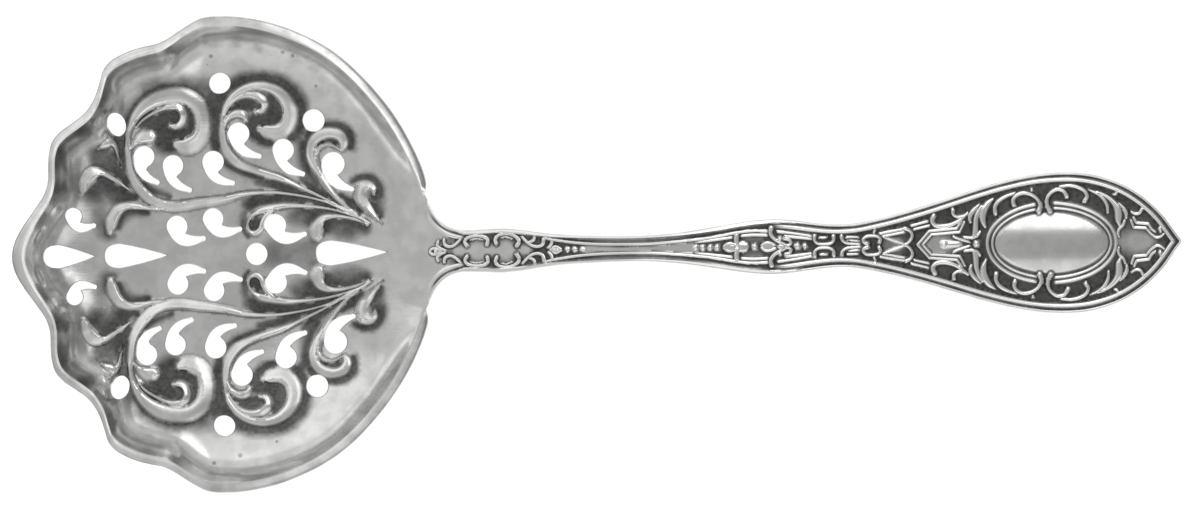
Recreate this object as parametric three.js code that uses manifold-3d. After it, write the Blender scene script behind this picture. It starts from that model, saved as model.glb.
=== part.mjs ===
import * as THREE from "three";
import { mergeVertices } from "three/addons/utils/BufferGeometryUtils.js";
import Module from "manifold-3d";

const wasm = await Module();
wasm.setup();

// Bowl: a pierced dish of struck sheet silver, its floor lying on the table. Millimetres.
const BOWL_LENGTH = 45.9;
const BOWL_WIDTH = 52.9;
const RIM_HEIGHT = 6.5;
const SHEET = 0.8;
const FLOOR_LENGTH = 16.0;
const FLOOR_WIDTH = 18.0;
const LIP_DROP = 0.4;
const LIP_EDGE = 1.0;
const HOLE_SCALE = 1.0;

// Scrolls raised on the bowl's floor.
const SCROLL_RISE = 0.42;
const SCROLL_ROOT = 0.35;

// Soldered joint between the bowl's neck and the handle.
const NECK_WIDTH = 12.8;
const SEAM_DEPTH = 1.3;
const SEAM_FILM = 0.3;
const SEAM_RISE = 0.35;

// Handle: one solid struck bar, arched over the table and resting on its tip.
const HANDLE_LENGTH = 83.9;
const HANDLE_WIDTH = 15.7;
const HANDLE_THICKNESS = 2.3;
const ARCH_RISE = 6.3;
const FIELD_DROP = 0.25;
const ORNAMENT_RISE = 0.3;
const BEAD_RISE = 0.36;
const CARTOUCHE_RISE = 0.45;

// Hand-set points below are drawn on a spoon of these sizes and follow the dimensions above.
const DRAWN = {
  bowlLength: 45.9,
  bowlWidth: 52.9,
  seam: 23.3,
  handleStart: 23.6,
  handleLength: 83.9,
  handleWidth: 15.7,
};
const ALONG = BOWL_LENGTH / DRAWN.bowlLength;
const ACROSS = BOWL_WIDTH / DRAWN.bowlWidth;
const SEAM_X = DRAWN.seam * ALONG;
const HANDLE_X = SEAM_X + SEAM_FILM;
const STRETCH = HANDLE_LENGTH / DRAWN.handleLength;
const SPREAD = HANDLE_WIDTH / DRAWN.handleWidth;

const silver = { color: 0xb9b9b7, metalness: 1.0, roughness: 0.3 };

// Solids

function solid(geometry) {
  const bare = geometry.clone();
  bare.deleteAttribute("normal");
  bare.deleteAttribute("uv");
  const merged = mergeVertices(bare, 1e-4);
  const mesh = new wasm.Mesh({
    numProp: 3,
    vertProperties: new Float32Array(merged.attributes.position.array),
    triVerts: new Uint32Array(merged.index.array),
  });
  return new wasm.Manifold(mesh);
}

function joined(list) {
  let whole = list[0];
  for (const piece of list.slice(1)) {
    whole = whole.add(piece);
  }
  return whole;
}

function geometryOf(points, faces) {
  const geometry = new THREE.BufferGeometry();
  geometry.setAttribute("position", new THREE.Float32BufferAttribute(points.flat(), 3));
  geometry.setIndex(faces.flat());
  geometry.computeVertexNormals();
  return geometry;
}

function asMesh(name, body, look) {
  const { vertProperties, triVerts } = body.getMesh();
  const geometry = new THREE.BufferGeometry();
  geometry.setAttribute("position", new THREE.Float32BufferAttribute(vertProperties, 3));
  geometry.setIndex(Array.from(triVerts));
  geometry.computeVertexNormals();
  const mesh = new THREE.Mesh(geometry, new THREE.MeshStandardMaterial(look));
  mesh.name = name;
  return mesh;
}

// A closed body from loops of equal length, each loop joined to the next and both ends capped.
function loft(loops) {
  const count = loops[0].length;
  const points = loops.flat();
  const faces = [];
  for (let i = 0; i + 1 < loops.length; i += 1) {
    for (let j = 0; j < count; j += 1) {
      const a = i * count + j;
      const b = i * count + ((j + 1) % count);
      faces.push([a, b, b + count], [a, b + count, a + count]);
    }
  }
  for (const [i, flip] of [[0, true], [loops.length - 1, false]]) {
    const flat = loops[i].map((p) => new THREE.Vector2(p[1], p[2]));
    for (const [a, b, c] of THREE.ShapeUtils.triangulateShape(flat, [])) {
      const face = [a + i * count, b + i * count, c + i * count];
      faces.push(flip ? face.reverse() : face);
    }
  }
  return geometryOf(points, faces);
}

// A ridge with a pitched top that follows [x, y, width] points over a surface and tapers at both ends.
function ridge(points, steps, surface, rise, root) {
  const curve = new THREE.CatmullRomCurve3(points.map((p) => new THREE.Vector3(...p)), false, "centripetal");
  const path = curve.getSpacedPoints(steps);
  const loops = path.map((p, i) => {
    const before = path[Math.max(i - 1, 0)];
    const after = path[Math.min(i + 1, steps)];
    const run = Math.hypot(after.x - before.x, after.y - before.y);
    const side = [(before.y - after.y) / run, (after.x - before.x) / run];
    const width = Math.max(p.z, 0.16);
    const crest = rise * Math.min(1, 0.45 + 0.5 * width);
    const half = 0.5 * width * (1 + root / crest);
    const left = [p.x + side[0] * half, p.y + side[1] * half];
    const right = [p.x - side[0] * half, p.y - side[1] * half];
    return [
      [...right, surface(...right) - root],
      [...left, surface(...left) - root],
      [p.x, p.y, surface(p.x, p.y) + crest],
    ];
  });
  const faces = [[0, 2, 1]];
  for (let i = 0; i < steps; i += 1) {
    for (let j = 0; j < 3; j += 1) {
      const a = 3 * i + j;
      const b = 3 * i + ((j + 1) % 3);
      faces.push([a, b, b + 3], [a, b + 3, a + 3]);
    }
  }
  faces.push([3 * steps, 3 * steps + 1, 3 * steps + 2]);
  return solid(geometryOf(loops.flat(), faces));
}

function bead(x, y, length, width, surface, rise) {
  const ball = new THREE.SphereGeometry(1, 7, 4);
  ball.rotateX(Math.PI / 2);
  ball.scale(length / 2, width / 2, rise + 0.1);
  ball.translate(x, y, surface(x, y) - 0.1);
  return solid(ball);
}

function mirrored(points) {
  return points.map(([x, y, ...rest]) => [x, -y, ...rest]);
}

// Bowl

// Upper half of the rim from the neck round to the scalloped tip: x, y, width of the turned lip.
const RIM = [
  [23.5, 7.5, 0.8], [23.15, 9.0, 1.0], [22.4, 10.9, 1.1], [21.2, 13.3, 1.1], [19.7, 15.7, 1.1],
  [18.0, 17.9, 1.1], [16.1, 20.0, 1.1], [14.0, 21.9, 1.1], [12.1, 23.2, 1.1], [10.0, 24.3, 1.1],
  [7.4, 25.35, 1.1], [5.0, 26.0, 1.1], [2.3, 26.4, 1.1], [0.2, 26.45, 1.05], [-1.4, 26.2, 0.95],
  [-2.6, 25.6, 0.8], [-3.7, 24.9, 0.7], [-4.9, 24.1, 0.7], [-6.1, 23.5, 0.7], [-7.5, 23.2, 0.75],
  [-9.0, 22.8, 0.75], [-10.4, 22.2, 0.75], [-11.5, 21.5, 0.7], [-12.2, 20.6, 0.65], [-12.55, 19.5, 0.6],
  [-12.95, 18.2, 0.6], [-13.5, 17.0, 0.6], [-14.4, 15.8, 0.65], [-15.7, 14.8, 0.7], [-17.1, 13.8, 0.7],
  [-17.95, 12.8, 0.65], [-18.35, 11.4, 0.6], [-18.45, 10.0, 0.6], [-18.5, 8.4, 0.6], [-18.9, 7.0, 0.65],
  [-20.0, 5.3, 0.75], [-21.4, 3.3, 0.9], [-22.3, 1.6, 1.0],
];
const TIP = [-22.6, 0, 1.0];

const RISE_STEPS = [0, 0.3, 0.55, 0.74, 0.87, 0.95, 1];
const UNDER_STEPS = [0, 0.4, 0.7, 0.87, 0.95];
const SWEEP_SPAN = 0.45;
const WALL_FOOT = 1.8;

function floorReach(angle) {
  return 0.5 / Math.hypot(Math.cos(angle) / FLOOR_LENGTH, Math.sin(angle) / FLOOR_WIDTH);
}

// The dish climbs gently at first, more so toward the neck, and steeply just under the lip.
const RIM_STEEPNESS = 9;

function gentleShare(angle) {
  return 0.38 + 0.12 * Math.cos(angle);
}

function climb(u, c) {
  const gentle = gentleShare(c.angle);
  const dish = gentle * u ** 2 + (1 - gentle) * u ** RIM_STEEPNESS;
  return c.sweep * u ** 1.5 + (1 - c.sweep) * dish;
}

function climbSlope(u, c) {
  const gentle = gentleShare(c.angle);
  const dish = 2 * gentle * u + (1 - gentle) * RIM_STEEPNESS * u ** (RIM_STEEPNESS - 1);
  return c.sweep * 1.5 * u ** 0.5 + (1 - c.sweep) * dish;
}

function rimColumns() {
  const half = NECK_WIDTH / 2;
  const neck = [half, half * 0.75, half * 0.5, half * 0.25].map((y) => {
    return { x: SEAM_X, y, lip: 0.35, neck: true };
  });
  const rim = RIM.map(([x, y, lip]) => ({ x: x * ALONG, y: y * ACROSS, lip, neck: false }));
  const upper = [...neck.reverse(), ...rim];
  const lower = upper.map((c) => ({ ...c, y: -c.y })).reverse();
  const tip = { x: TIP[0] * ALONG, y: 0, lip: TIP[2], neck: false };
  return [{ x: SEAM_X, y: 0, lip: 0.35, neck: true }, ...upper, tip, ...lower];
}

const COLUMNS = rimColumns().map((c) => {
  const angle = Math.atan2(c.y, c.x);
  const reach = Math.hypot(c.x, c.y);
  const crest = reach - c.lip;
  const floor = Math.min(floorReach(angle), crest - WALL_FOOT);
  const top = RIM_HEIGHT - (c.neck ? SEAM_RISE * 1.1 : 0);
  const away = (Math.abs(angle) - Math.atan2(NECK_WIDTH / 2, SEAM_X)) / SWEEP_SPAN;
  const sweep = 1 - THREE.MathUtils.smoothstep(away, 0, 1);
  return { ...c, angle, reach, crest, floor, top, sweep };
});

// One section through the dish along a column, from the floor over the lip and back under to the floor.
function bowlSection(c) {
  const run = c.crest - c.floor;
  const rise = c.top - SHEET;
  const at = (r, z) => [r * Math.cos(c.angle), r * Math.sin(c.angle), z];
  const upper = RISE_STEPS.map((u) => at(c.floor + run * u, SHEET + rise * climb(u, c)));
  const under = UNDER_STEPS.map((u) => {
    const slope = Math.atan((rise * climbSlope(u, c)) / run);
    const r = c.floor + run * u + SHEET * Math.sin(slope);
    return at(r, SHEET + rise * climb(u, c) - SHEET * Math.cos(slope));
  });
  if (c.neck) {
    return [...upper, [c.x, c.y, RIM_HEIGHT], [c.x, c.y, RIM_HEIGHT - SEAM_DEPTH], ...under.reverse()];
  }
  const edge = RIM_HEIGHT - LIP_DROP;
  return [...upper, at(c.reach, edge), at(c.reach - 0.1, edge - LIP_EDGE), ...under.reverse()];
}

function dish() {
  const sections = COLUMNS.map(bowlSection);
  const count = sections[0].length;
  const points = sections.flat();
  const total = points.length;
  const faces = [];
  for (let j = 0; j < sections.length; j += 1) {
    for (let i = 0; i + 1 < count; i += 1) {
      const a = j * count + i;
      const d = (a + count) % total;
      faces.push([a, a + 1, d + 1], [a, d + 1, d]);
    }
  }
  for (const [row, flip] of [[0, false], [count - 1, true]]) {
    const flat = sections.map((s) => new THREE.Vector2(s[row][0], s[row][1]));
    for (const face of THREE.ShapeUtils.triangulateShape(flat, [])) {
      const turned = face.map((k) => k * count + row);
      faces.push(flip ? turned.reverse() : turned);
    }
  }
  return solid(geometryOf(points, faces));
}

// Height of the dish's upper face above the table.
function bowlFace(x, y) {
  const angle = Math.atan2(y, x);
  const r = Math.hypot(x, y);
  const next = COLUMNS.findIndex((c, i) => i > 0 && (c.angle < 0 ? c.angle + 2 * Math.PI : c.angle)
    >= (angle < 0 ? angle + 2 * Math.PI : angle));
  const c = COLUMNS[next < 0 ? 0 : next];
  const u = Math.min(Math.max((r - c.floor) / (c.crest - c.floor), 0), 1);
  return SHEET + (c.top - SHEET) * climb(u, c);
}

// Comma piercings of the upper half: head x, y, radius; inner corner; tail tip; bulge of the tail.
const COMMAS = [
  [-8.05, 11.05, 1.15, -7.85, 9.6, -6.45, 7.95, 0.24],
  [-4.86, 10.0, 1.15, -4.5, 8.75, -2.83, 7.05, 0.22],
  [-0.38, 10.36, 1.2, 0.14, 9.15, 2.0, 7.8, 0.24],
  [-15.95, 4.5, 0.9, -15.3, 3.8, -13.5, 3.35, 0.34],
  [-4.5, 3.2, 1.17, -3.6, 2.4, -1.3, 1.75, 0.32],
  [-0.47, 4.0, 1.15, 0.5, 3.25, 2.76, 2.75, 0.32],
  [2.53, 13.47, 1.2, 3.1, 12.3, 5.0, 10.75, 0.22],
  [7.48, 11.57, 1.2, 7.9, 10.35, 9.83, 8.7, 0.22],
  [13.05, 9.93, 1.3, 13.5, 8.7, 15.3, 6.9, 0.24],
  [6.47, 3.2, 1.2, 7.5, 2.45, 10.0, 2.1, 0.32],
];

// Round piercings of the upper half: x, y, length, width, turn in degrees.
const ROUNDS = [[0.55, 19.1, 2.4, 2.25, 20], [-11.0, 14.65, 1.95, 2.6, 15], [10.97, 14.8, 2.45, 2.45, 0]];
const MIDDLE_ROUND = [4.35, 0, 2.4, 2.4, 0];

// Wedge piercings on the centre line: blunt end, point, half width.
const WEDGES = [[-19.25, -13.7, 1.28], [-12.6, -5.6, 1.32], [11.0, 19.0, 1.35]];

// Angle from a comma's tail to the point where the tail's back leaves the round head.
const TAIL_TURN = 1.9;

function commaShape([hx, hy, hr, kx, ky, tx, ty, bulge]) {
  const head = new THREE.Vector2(hx * ALONG, hy * ACROSS);
  const corner = new THREE.Vector2(kx * ALONG, ky * ACROSS);
  const tip = new THREE.Vector2(tx * ALONG, ty * ACROSS);
  const radius = hr * HOLE_SCALE;
  const start = Math.atan2(corner.y - head.y, corner.x - head.x) + 0.25;
  const leave = Math.atan2(tip.y - head.y, tip.x - head.x) - TAIL_TURN;
  const turn = leave + (leave < start ? 2 * Math.PI : 0);
  const shape = new THREE.Shape();
  const steps = 6;
  let last = head;
  for (let i = 0; i <= steps; i += 1) {
    const a = start + ((turn - start) * i) / steps;
    last = new THREE.Vector2(head.x + radius * Math.cos(a), head.y + radius * Math.sin(a));
    if (i === 0) {
      shape.moveTo(last.x, last.y);
    } else {
      shape.lineTo(last.x, last.y);
    }
  }
  const chord = new THREE.Vector2().subVectors(tip, last);
  const middle = new THREE.Vector2().addVectors(last, tip).multiplyScalar(0.5);
  const out = new THREE.Vector2(chord.y, -chord.x).multiplyScalar(2 * bulge);
  shape.quadraticCurveTo(middle.x + out.x, middle.y + out.y, tip.x, tip.y);
  const inner = new THREE.Vector2().addVectors(corner, tip).multiplyScalar(0.5);
  const sag = new THREE.Vector2(chord.y, -chord.x).multiplyScalar(0.1);
  shape.quadraticCurveTo(inner.x + sag.x, inner.y + sag.y, corner.x, corner.y);
  shape.closePath();
  return shape;
}

function roundShape([x, y, length, width, turn]) {
  const shape = new THREE.Shape();
  const rx = (length * HOLE_SCALE) / 2;
  const ry = (width * HOLE_SCALE) / 2;
  shape.absellipse(x * ALONG, y * ACROSS, rx, ry, 0, 2 * Math.PI, false, THREE.MathUtils.degToRad(turn));
  return shape;
}

function wedgeShape([blunt, point, half]) {
  const h = half * HOLE_SCALE;
  const left = blunt * ALONG;
  const right = point * ALONG;
  const shape = new THREE.Shape();
  shape.moveTo(right, 0);
  shape.quadraticCurveTo(left + 0.55 * (right - left), 0.75 * h, left + 1.3 * h, h);
  shape.quadraticCurveTo(left, h, left, 0);
  shape.quadraticCurveTo(left, -h, left + 1.3 * h, -h);
  shape.quadraticCurveTo(left + 0.55 * (right - left), -0.75 * h, right, 0);
  return shape;
}

function punch(shape, steps, flip) {
  const cut = { depth: RIM_HEIGHT, bevelEnabled: false, curveSegments: steps };
  const cutter = new THREE.ExtrudeGeometry(shape, cut);
  cutter.translate(0, 0, -1);
  const body = solid(cutter);
  return flip ? body.mirror([0, 1, 0]) : body;
}

// Scroll strokes of the upper half as [x, y, width] points, each with its number of steps.
const SCROLLS = [
  // Long stem, then its outer volute with a rounded end.
  [23, [[16.4, 3.5, 0.2], [12.6, 5.7, 0.45], [8.0, 6.7, 0.55], [2.4, 6.5, 0.75], [-1.0, 5.9, 0.9],
    [-4.6, 5.55, 1.0], [-6.8, 6.1, 1.05], [-8.2, 7.2, 1.0], [-9.3, 8.9, 0.9], [-9.8, 10.8, 0.8],
    [-9.9, 12.8, 0.6], [-9.4, 14.8, 0.8], [-8.0, 16.9, 1.0], [-6.0, 18.1, 1.3], [-3.8, 18.2, 1.2],
    [-2.0, 17.4, 1.1], [-1.0, 15.6, 1.2], [-1.2, 13.6, 1.3], [-2.4, 12.2, 1.4], [-3.9, 12.0, 1.2]]],
  // Inner hook of that volute and the curl beside the comma.
  [6, [[-5.6, 17.4, 0.4], [-4.2, 17.0, 0.7], [-3.5, 16.0, 0.8], [-3.5, 15.0, 0.8], [-4.1, 14.35, 0.6],
    [-4.9, 14.5, 0.3]]],
  [4, [[-9.6, 11.6, 0.4], [-9.1, 12.6, 0.7], [-8.3, 13.3, 1.1], [-7.5, 13.6, 1.0]]],
  // Second stem and volute.
  [18, [[15.9, 4.2, 0.2], [12.6, 6.2, 0.4], [9.6, 7.4, 0.55], [6.6, 8.8, 0.75], [4.0, 9.7, 0.9],
    [2.0, 10.9, 1.0], [0.9, 12.4, 0.95], [0.65, 14.2, 0.8], [1.0, 16.2, 0.7], [2.2, 17.8, 0.8],
    [4.2, 18.7, 0.9], [6.2, 18.5, 1.15], [7.7, 17.4, 1.35], [8.3, 15.9, 1.5], [8.0, 14.5, 1.5],
    [7.0, 13.5, 1.5], [5.6, 13.5, 1.2]]],
  [6, [[1.6, 16.4, 0.3], [2.8, 17.3, 0.45], [4.3, 17.6, 0.7], [5.4, 17.1, 0.85], [5.5, 16.2, 0.7],
    [4.7, 15.8, 0.3]]],
  [4, [[0.9, 14.4, 0.35], [1.6, 15.3, 0.6], [2.5, 15.6, 0.8], [3.3, 15.4, 0.9]]],
  // Broad hooked leaf round the largest comma.
  [9, [[16.6, 3.9, 0.25], [14.2, 5.5, 0.5], [12.6, 7.1, 0.7], [11.3, 9.0, 0.9], [10.75, 10.9, 1.1],
    [11.3, 12.5, 1.2], [12.6, 13.3, 1.3], [13.9, 13.0, 1.1], [14.2, 11.9, 0.7]]],
  // Lower stems ending in hooked leaves.
  [9, [[15.6, 3.7, 0.2], [12.4, 5.0, 0.5], [9.4, 5.4, 0.65], [6.8, 5.3, 0.85], [5.0, 4.6, 0.9],
    [4.3, 3.5, 0.8], [4.5, 2.5, 0.5]]],
  [5, [[17.2, 3.0, 0.2], [15.0, 3.8, 0.4], [13.0, 4.05, 0.65], [11.6, 3.7, 0.95], [11.0, 2.9, 1.1],
    [11.1, 2.0, 0.9]]],
  [5, [[18.6, 3.0, 0.2], [17.5, 4.1, 0.5], [16.5, 5.4, 0.8], [16.1, 6.6, 1.0], [16.7, 7.5, 1.0],
    [17.4, 7.0, 0.5]]],
  // Three leaves on the back of the long stem.
  [6, [[-6.2, 5.3, 0.2], [-8.4, 5.4, 0.5], [-10.3, 5.6, 0.9], [-11.5, 4.8, 1.05], [-12.2, 3.1, 0.7]]],
  [6, [[-9.1, 7.1, 0.25], [-10.9, 8.3, 0.5], [-12.8, 9.3, 0.9], [-14.2, 8.9, 1.25], [-14.9, 7.5, 0.6]]],
  [5, [[-10.3, 9.7, 0.25], [-11.1, 11.4, 0.5], [-11.8, 12.6, 0.95], [-12.9, 12.1, 0.5]]],
];

function bowlBody() {
  const place = (points) => points.map(([x, y, w]) => [x * ALONG, y * ACROSS, w]);
  const raised = [dish()];
  for (const [steps, points] of SCROLLS) {
    raised.push(ridge(place(points), steps, bowlFace, SCROLL_RISE, SCROLL_ROOT));
    raised.push(ridge(mirrored(place(points)), steps, bowlFace, SCROLL_RISE, SCROLL_ROOT));
  }
  let body = joined(raised);
  for (const flip of [false, true]) {
    for (const comma of COMMAS) {
      body = body.subtract(punch(commaShape(comma), 4, flip));
    }
    for (const round of ROUNDS) {
      body = body.subtract(punch(roundShape(round), 7, flip));
    }
  }
  body = body.subtract(punch(roundShape(MIDDLE_ROUND), 7, false));
  for (const wedge of WEDGES) {
    body = body.subtract(punch(wedgeShape(wedge), 4, false));
  }
  return body;
}

// Handle

// Half widths along the drawn handle.
const PLAN = [
  [23.6, 5.8], [24.0, 4.95], [24.5, 4.05], [25.0, 3.45], [25.6, 2.95], [26.3, 2.6], [27.0, 2.4],
  [28.0, 2.32], [30.0, 2.4], [32.0, 2.45], [34.0, 2.27], [36.0, 1.97], [38.0, 1.74], [40.0, 1.6],
  [43.0, 1.47], [46.0, 1.42], [49.0, 1.52], [52.0, 1.8], [55.0, 2.25], [58.0, 2.72], [60.0, 2.97],
  [62.0, 3.05], [64.0, 2.92], [66.0, 2.65], [68.0, 2.44], [69.5, 2.4], [71.0, 2.5], [73.0, 2.87],
  [75.0, 3.32], [77.0, 3.85], [79.0, 4.42], [81.0, 5.03], [83.0, 5.66], [85.0, 6.27], [87.0, 6.82],
  [89.0, 7.28], [91.0, 7.62], [93.0, 7.81], [95.0, 7.85], [97.0, 7.68], [99.0, 7.22], [101.0, 6.45],
  [103.0, 5.25], [104.5, 4.0], [105.5, 2.95], [106.4, 1.75], [107.1, 0.75], [107.5, 0.25],
];

// Side view: x, height of the top as a share of the arch above the neck, share of the full thickness.
const ARCH = [
  [23.6, 0.0, 0.59], [25.0, 0.12, 0.66], [27.0, 0.28, 0.76], [30.0, 0.5, 0.88], [36.0, 0.83, 1.0],
  [44.0, 1.0, 1.0], [54.0, 0.9, 1.0], [66.0, 0.56, 0.92], [80.0, 0.0, 0.85], [92.0, -0.45, 0.78],
  [100.0, -0.7, 0.72], [107.5, -0.86, 0.66],
];

const NECK_TOP = RIM_HEIGHT + SEAM_RISE;

function along(x) {
  return HANDLE_X + (x - DRAWN.handleStart) * STRETCH;
}

function table(rows, column, x) {
  const next = Math.min(Math.max(rows.findIndex((row) => row[0] >= x), 1), rows.length - 1);
  const at = (i) => rows[Math.min(Math.max(i, 0), rows.length - 1)];
  const [p, q] = [at(next - 1), at(next)];
  const span = q[0] - p[0];
  const t = (x - p[0]) / span;
  const rate = (a, b) => (b[column] - a[column]) / (b[0] - a[0]);
  const m0 = next > 1 ? 0.5 * (rate(at(next - 2), p) + rate(p, q)) : rate(p, q);
  const m1 = next + 1 < rows.length ? 0.5 * (rate(p, q) + rate(q, at(next + 1))) : rate(p, q);
  const s = t * t * (3 - 2 * t);
  const bend = t * (1 - t) ** 2 * m0 * span - t * t * (1 - t) * m1 * span;
  return p[column] * (1 - s) + q[column] * s + bend;
}

function thickness(x) {
  return HANDLE_THICKNESS * table(ARCH, 2, x);
}

// Top of the handle's border. Below the neck's level it runs down until the tip's underside meets the table.
function handleTop(x) {
  const share = table(ARCH, 1, x);
  if (share >= 0) {
    return NECK_TOP + ARCH_RISE * share;
  }
  const [, tipShare, tipThickness] = ARCH[ARCH.length - 1];
  const fall = NECK_TOP - HANDLE_THICKNESS * tipThickness;
  return NECK_TOP - (fall * share) / tipShare;
}

function fieldFace(x) {
  return handleTop(DRAWN.handleStart + (x - HANDLE_X) / STRETCH) - FIELD_DROP;
}

// Section of the handle: flat back, rounded side, groove, raised thread and sunk field.
function handleSection([x, half]) {
  const w = half * SPREAD;
  const s = Math.min(1, w / 2.2);
  const top = handleTop(x);
  const under = top - thickness(x);
  const side = [
    [w - 1.05 * s, top - FIELD_DROP], [w - 0.88 * s, top], [w - 0.6 * s, top],
    [w - 0.45 * s, top - FIELD_DROP], [w - 0.15 * s, top - 0.18], [w, top - 0.5], [w - 0.45 * s, under],
  ];
  const px = along(x);
  const left = side.map(([y, z]) => [px, -y, z]);
  const right = side.map(([y, z]) => [px, y, z]).reverse();
  return [[px, 0, top - FIELD_DROP], ...left, [px, 0, under], ...right];
}

// Strokes of the upper half of the handle as [x, y, width] points, each with its number of steps.
const STROKES = [
  // Palmette leaf and the two bracket pairs round the neck panel.
  [5, [[24.6, 1.05, 0.25], [24.8, 0.5, 0.3], [25.6, 0.12, 0.2]]],
  [5, [[25.5, 1.2, 0.3], [25.8, 0.65, 0.3], [26.5, 0.55, 0.28], [27.3, 1.2, 0.2]]],
  [7, [[28.0, 0.5, 0.4], [27.65, 1.0, 0.3], [28.2, 1.6, 0.28], [29.5, 1.65, 0.28], [30.25, 1.3, 0.3],
    [30.1, 0.7, 0.4]]],
  [7, [[31.2, 0.75, 0.4], [31.1, 1.3, 0.3], [31.8, 1.8, 0.28], [33.0, 1.7, 0.28], [33.8, 1.1, 0.3],
    [33.5, 0.4, 0.45]]],
  [5, [[34.1, 1.5, 0.2], [34.8, 0.75, 0.25], [35.7, 0.4, 0.25], [36.4, 0.6, 0.28], [36.4, 1.2, 0.35]]],
  // Petals of the bellflowers.
  [3, [[57.4, 0.35, 0.3], [57.7, 0.9, 0.4], [57.8, 1.4, 0.4]]],
  [5, [[61.5, 1.9, 0.45], [61.7, 1.3, 0.4], [62.3, 0.6, 0.35], [63.2, 0.15, 0.3]]],
  // Back-to-back brackets and the clasp.
  [6, [[66.4, 1.1, 0.35], [66.5, 0.5, 0.3], [67.5, 0.2, 0.28], [68.4, 0.5, 0.3], [68.5, 1.1, 0.35]]],
  [4, [[69.4, 1.05, 0.35], [69.6, 0.5, 0.3], [70.4, 0.22, 0.26], [71.4, 0.2, 0.2]]],
  [8, [[72.2, 0.3, 0.45], [71.85, 0.7, 0.32], [72.4, 1.05, 0.3], [73.3, 1.02, 0.3], [73.75, 0.65, 0.32],
    [73.6, 0.3, 0.4]]],
  // Strap loop and the double strapwork point.
  [8, [[74.0, 0.9, 0.25], [75.4, 0.45, 0.28], [76.7, 0.1, 0.28], [77.25, 0.9, 0.3], [77.1, 1.6, 0.32],
    [76.5, 1.85, 0.4]]],
  [5, [[74.0, 1.35, 0.22], [76.2, 1.75, 0.25], [78.0, 2.15, 0.25], [79.3, 2.45, 0.22]]],
  [7, [[78.0, 0.12, 0.3], [79.2, 1.5, 0.3], [80.8, 1.62, 0.3], [82.35, 1.75, 0.3], [82.8, 2.5, 0.25]]],
  // Leaf scrolls and fronds before the cartouche.
  [7, [[79.8, 3.1, 0.5], [79.6, 2.6, 0.42], [80.2, 2.15, 0.4], [81.6, 2.2, 0.38], [82.9, 2.8, 0.32],
    [83.7, 3.6, 0.2]]],
  [5, [[83.2, 0.95, 0.25], [84.2, 0.9, 0.45], [84.6, 2.0, 0.5], [84.7, 3.4, 0.45], [85.6, 4.8, 0.2]]],
  [4, [[85.25, 2.0, 0.3], [85.2, 3.0, 0.45], [85.6, 4.1, 0.4], [86.4, 5.0, 0.2]]],
  // Scrolls above the cartouche.
  [5, [[86.75, 3.5, 0.4], [86.8, 4.4, 0.35], [87.7, 5.2, 0.3], [89.0, 5.65, 0.2]]],
  [8, [[91.5, 3.9, 0.45], [91.75, 4.6, 0.38], [91.2, 5.4, 0.35], [90.0, 5.7, 0.35], [89.0, 5.3, 0.35],
    [88.75, 4.5, 0.4]]],
  [8, [[92.8, 3.9, 0.45], [92.5, 4.7, 0.36], [92.8, 5.6, 0.35], [93.7, 6.1, 0.35], [94.5, 5.8, 0.35],
    [94.7, 5.3, 0.4]]],
  [5, [[94.2, 6.35, 0.2], [95.4, 6.45, 0.32], [96.6, 5.95, 0.35], [97.0, 5.2, 0.38], [96.8, 4.7, 0.4]]],
  [5, [[97.2, 5.8, 0.2], [98.2, 5.2, 0.38], [99.0, 4.2, 0.38], [99.25, 3.3, 0.3]]],
  // Right frond, zigzag strap and small scroll toward the tip.
  [6, [[98.6, 5.7, 0.2], [99.9, 4.8, 0.45], [100.6, 3.5, 0.5], [100.7, 2.5, 0.4], [100.3, 1.4, 0.25]]],
  [5, [[101.9, 2.55, 0.25], [102.2, 1.8, 0.28], [103.5, 1.65, 0.28], [104.2, 0.95, 0.28],
    [105.2, 0.5, 0.25]]],
  [4, [[101.9, 3.5, 0.2], [102.4, 3.15, 0.28], [102.95, 3.2, 0.3], [103.1, 3.7, 0.35]]],
];

// Beads on the centre line: x, length, width.
const BEADS = [
  [24.3, 1.2, 0.75], [37.8, 1.2, 0.75], [39.1, 0.42, 0.66], [39.9, 0.4, 0.62], [40.7, 0.36, 0.55],
  [53.2, 0.36, 0.5], [54.0, 0.46, 0.7], [54.8, 0.48, 0.74], [55.6, 0.5, 0.78], [56.9, 1.3, 0.9],
  [58.55, 1.0, 1.0], [59.75, 0.5, 0.8], [60.8, 1.0, 0.8], [64.4, 0.6, 0.85], [65.25, 0.55, 0.7],
  [81.9, 2.6, 0.85], [84.5, 0.7, 0.75],
];

const CARTOUCHE = { x: 92.95, reach: 7.0, half: 4.2 };

function oval(reach, half, steps) {
  return Array.from({ length: steps }, (_, i) => {
    const a = (2 * Math.PI * i) / steps;
    return [along(CARTOUCHE.x) + reach * STRETCH * Math.cos(a), half * SPREAD * Math.sin(a)];
  });
}

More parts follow.
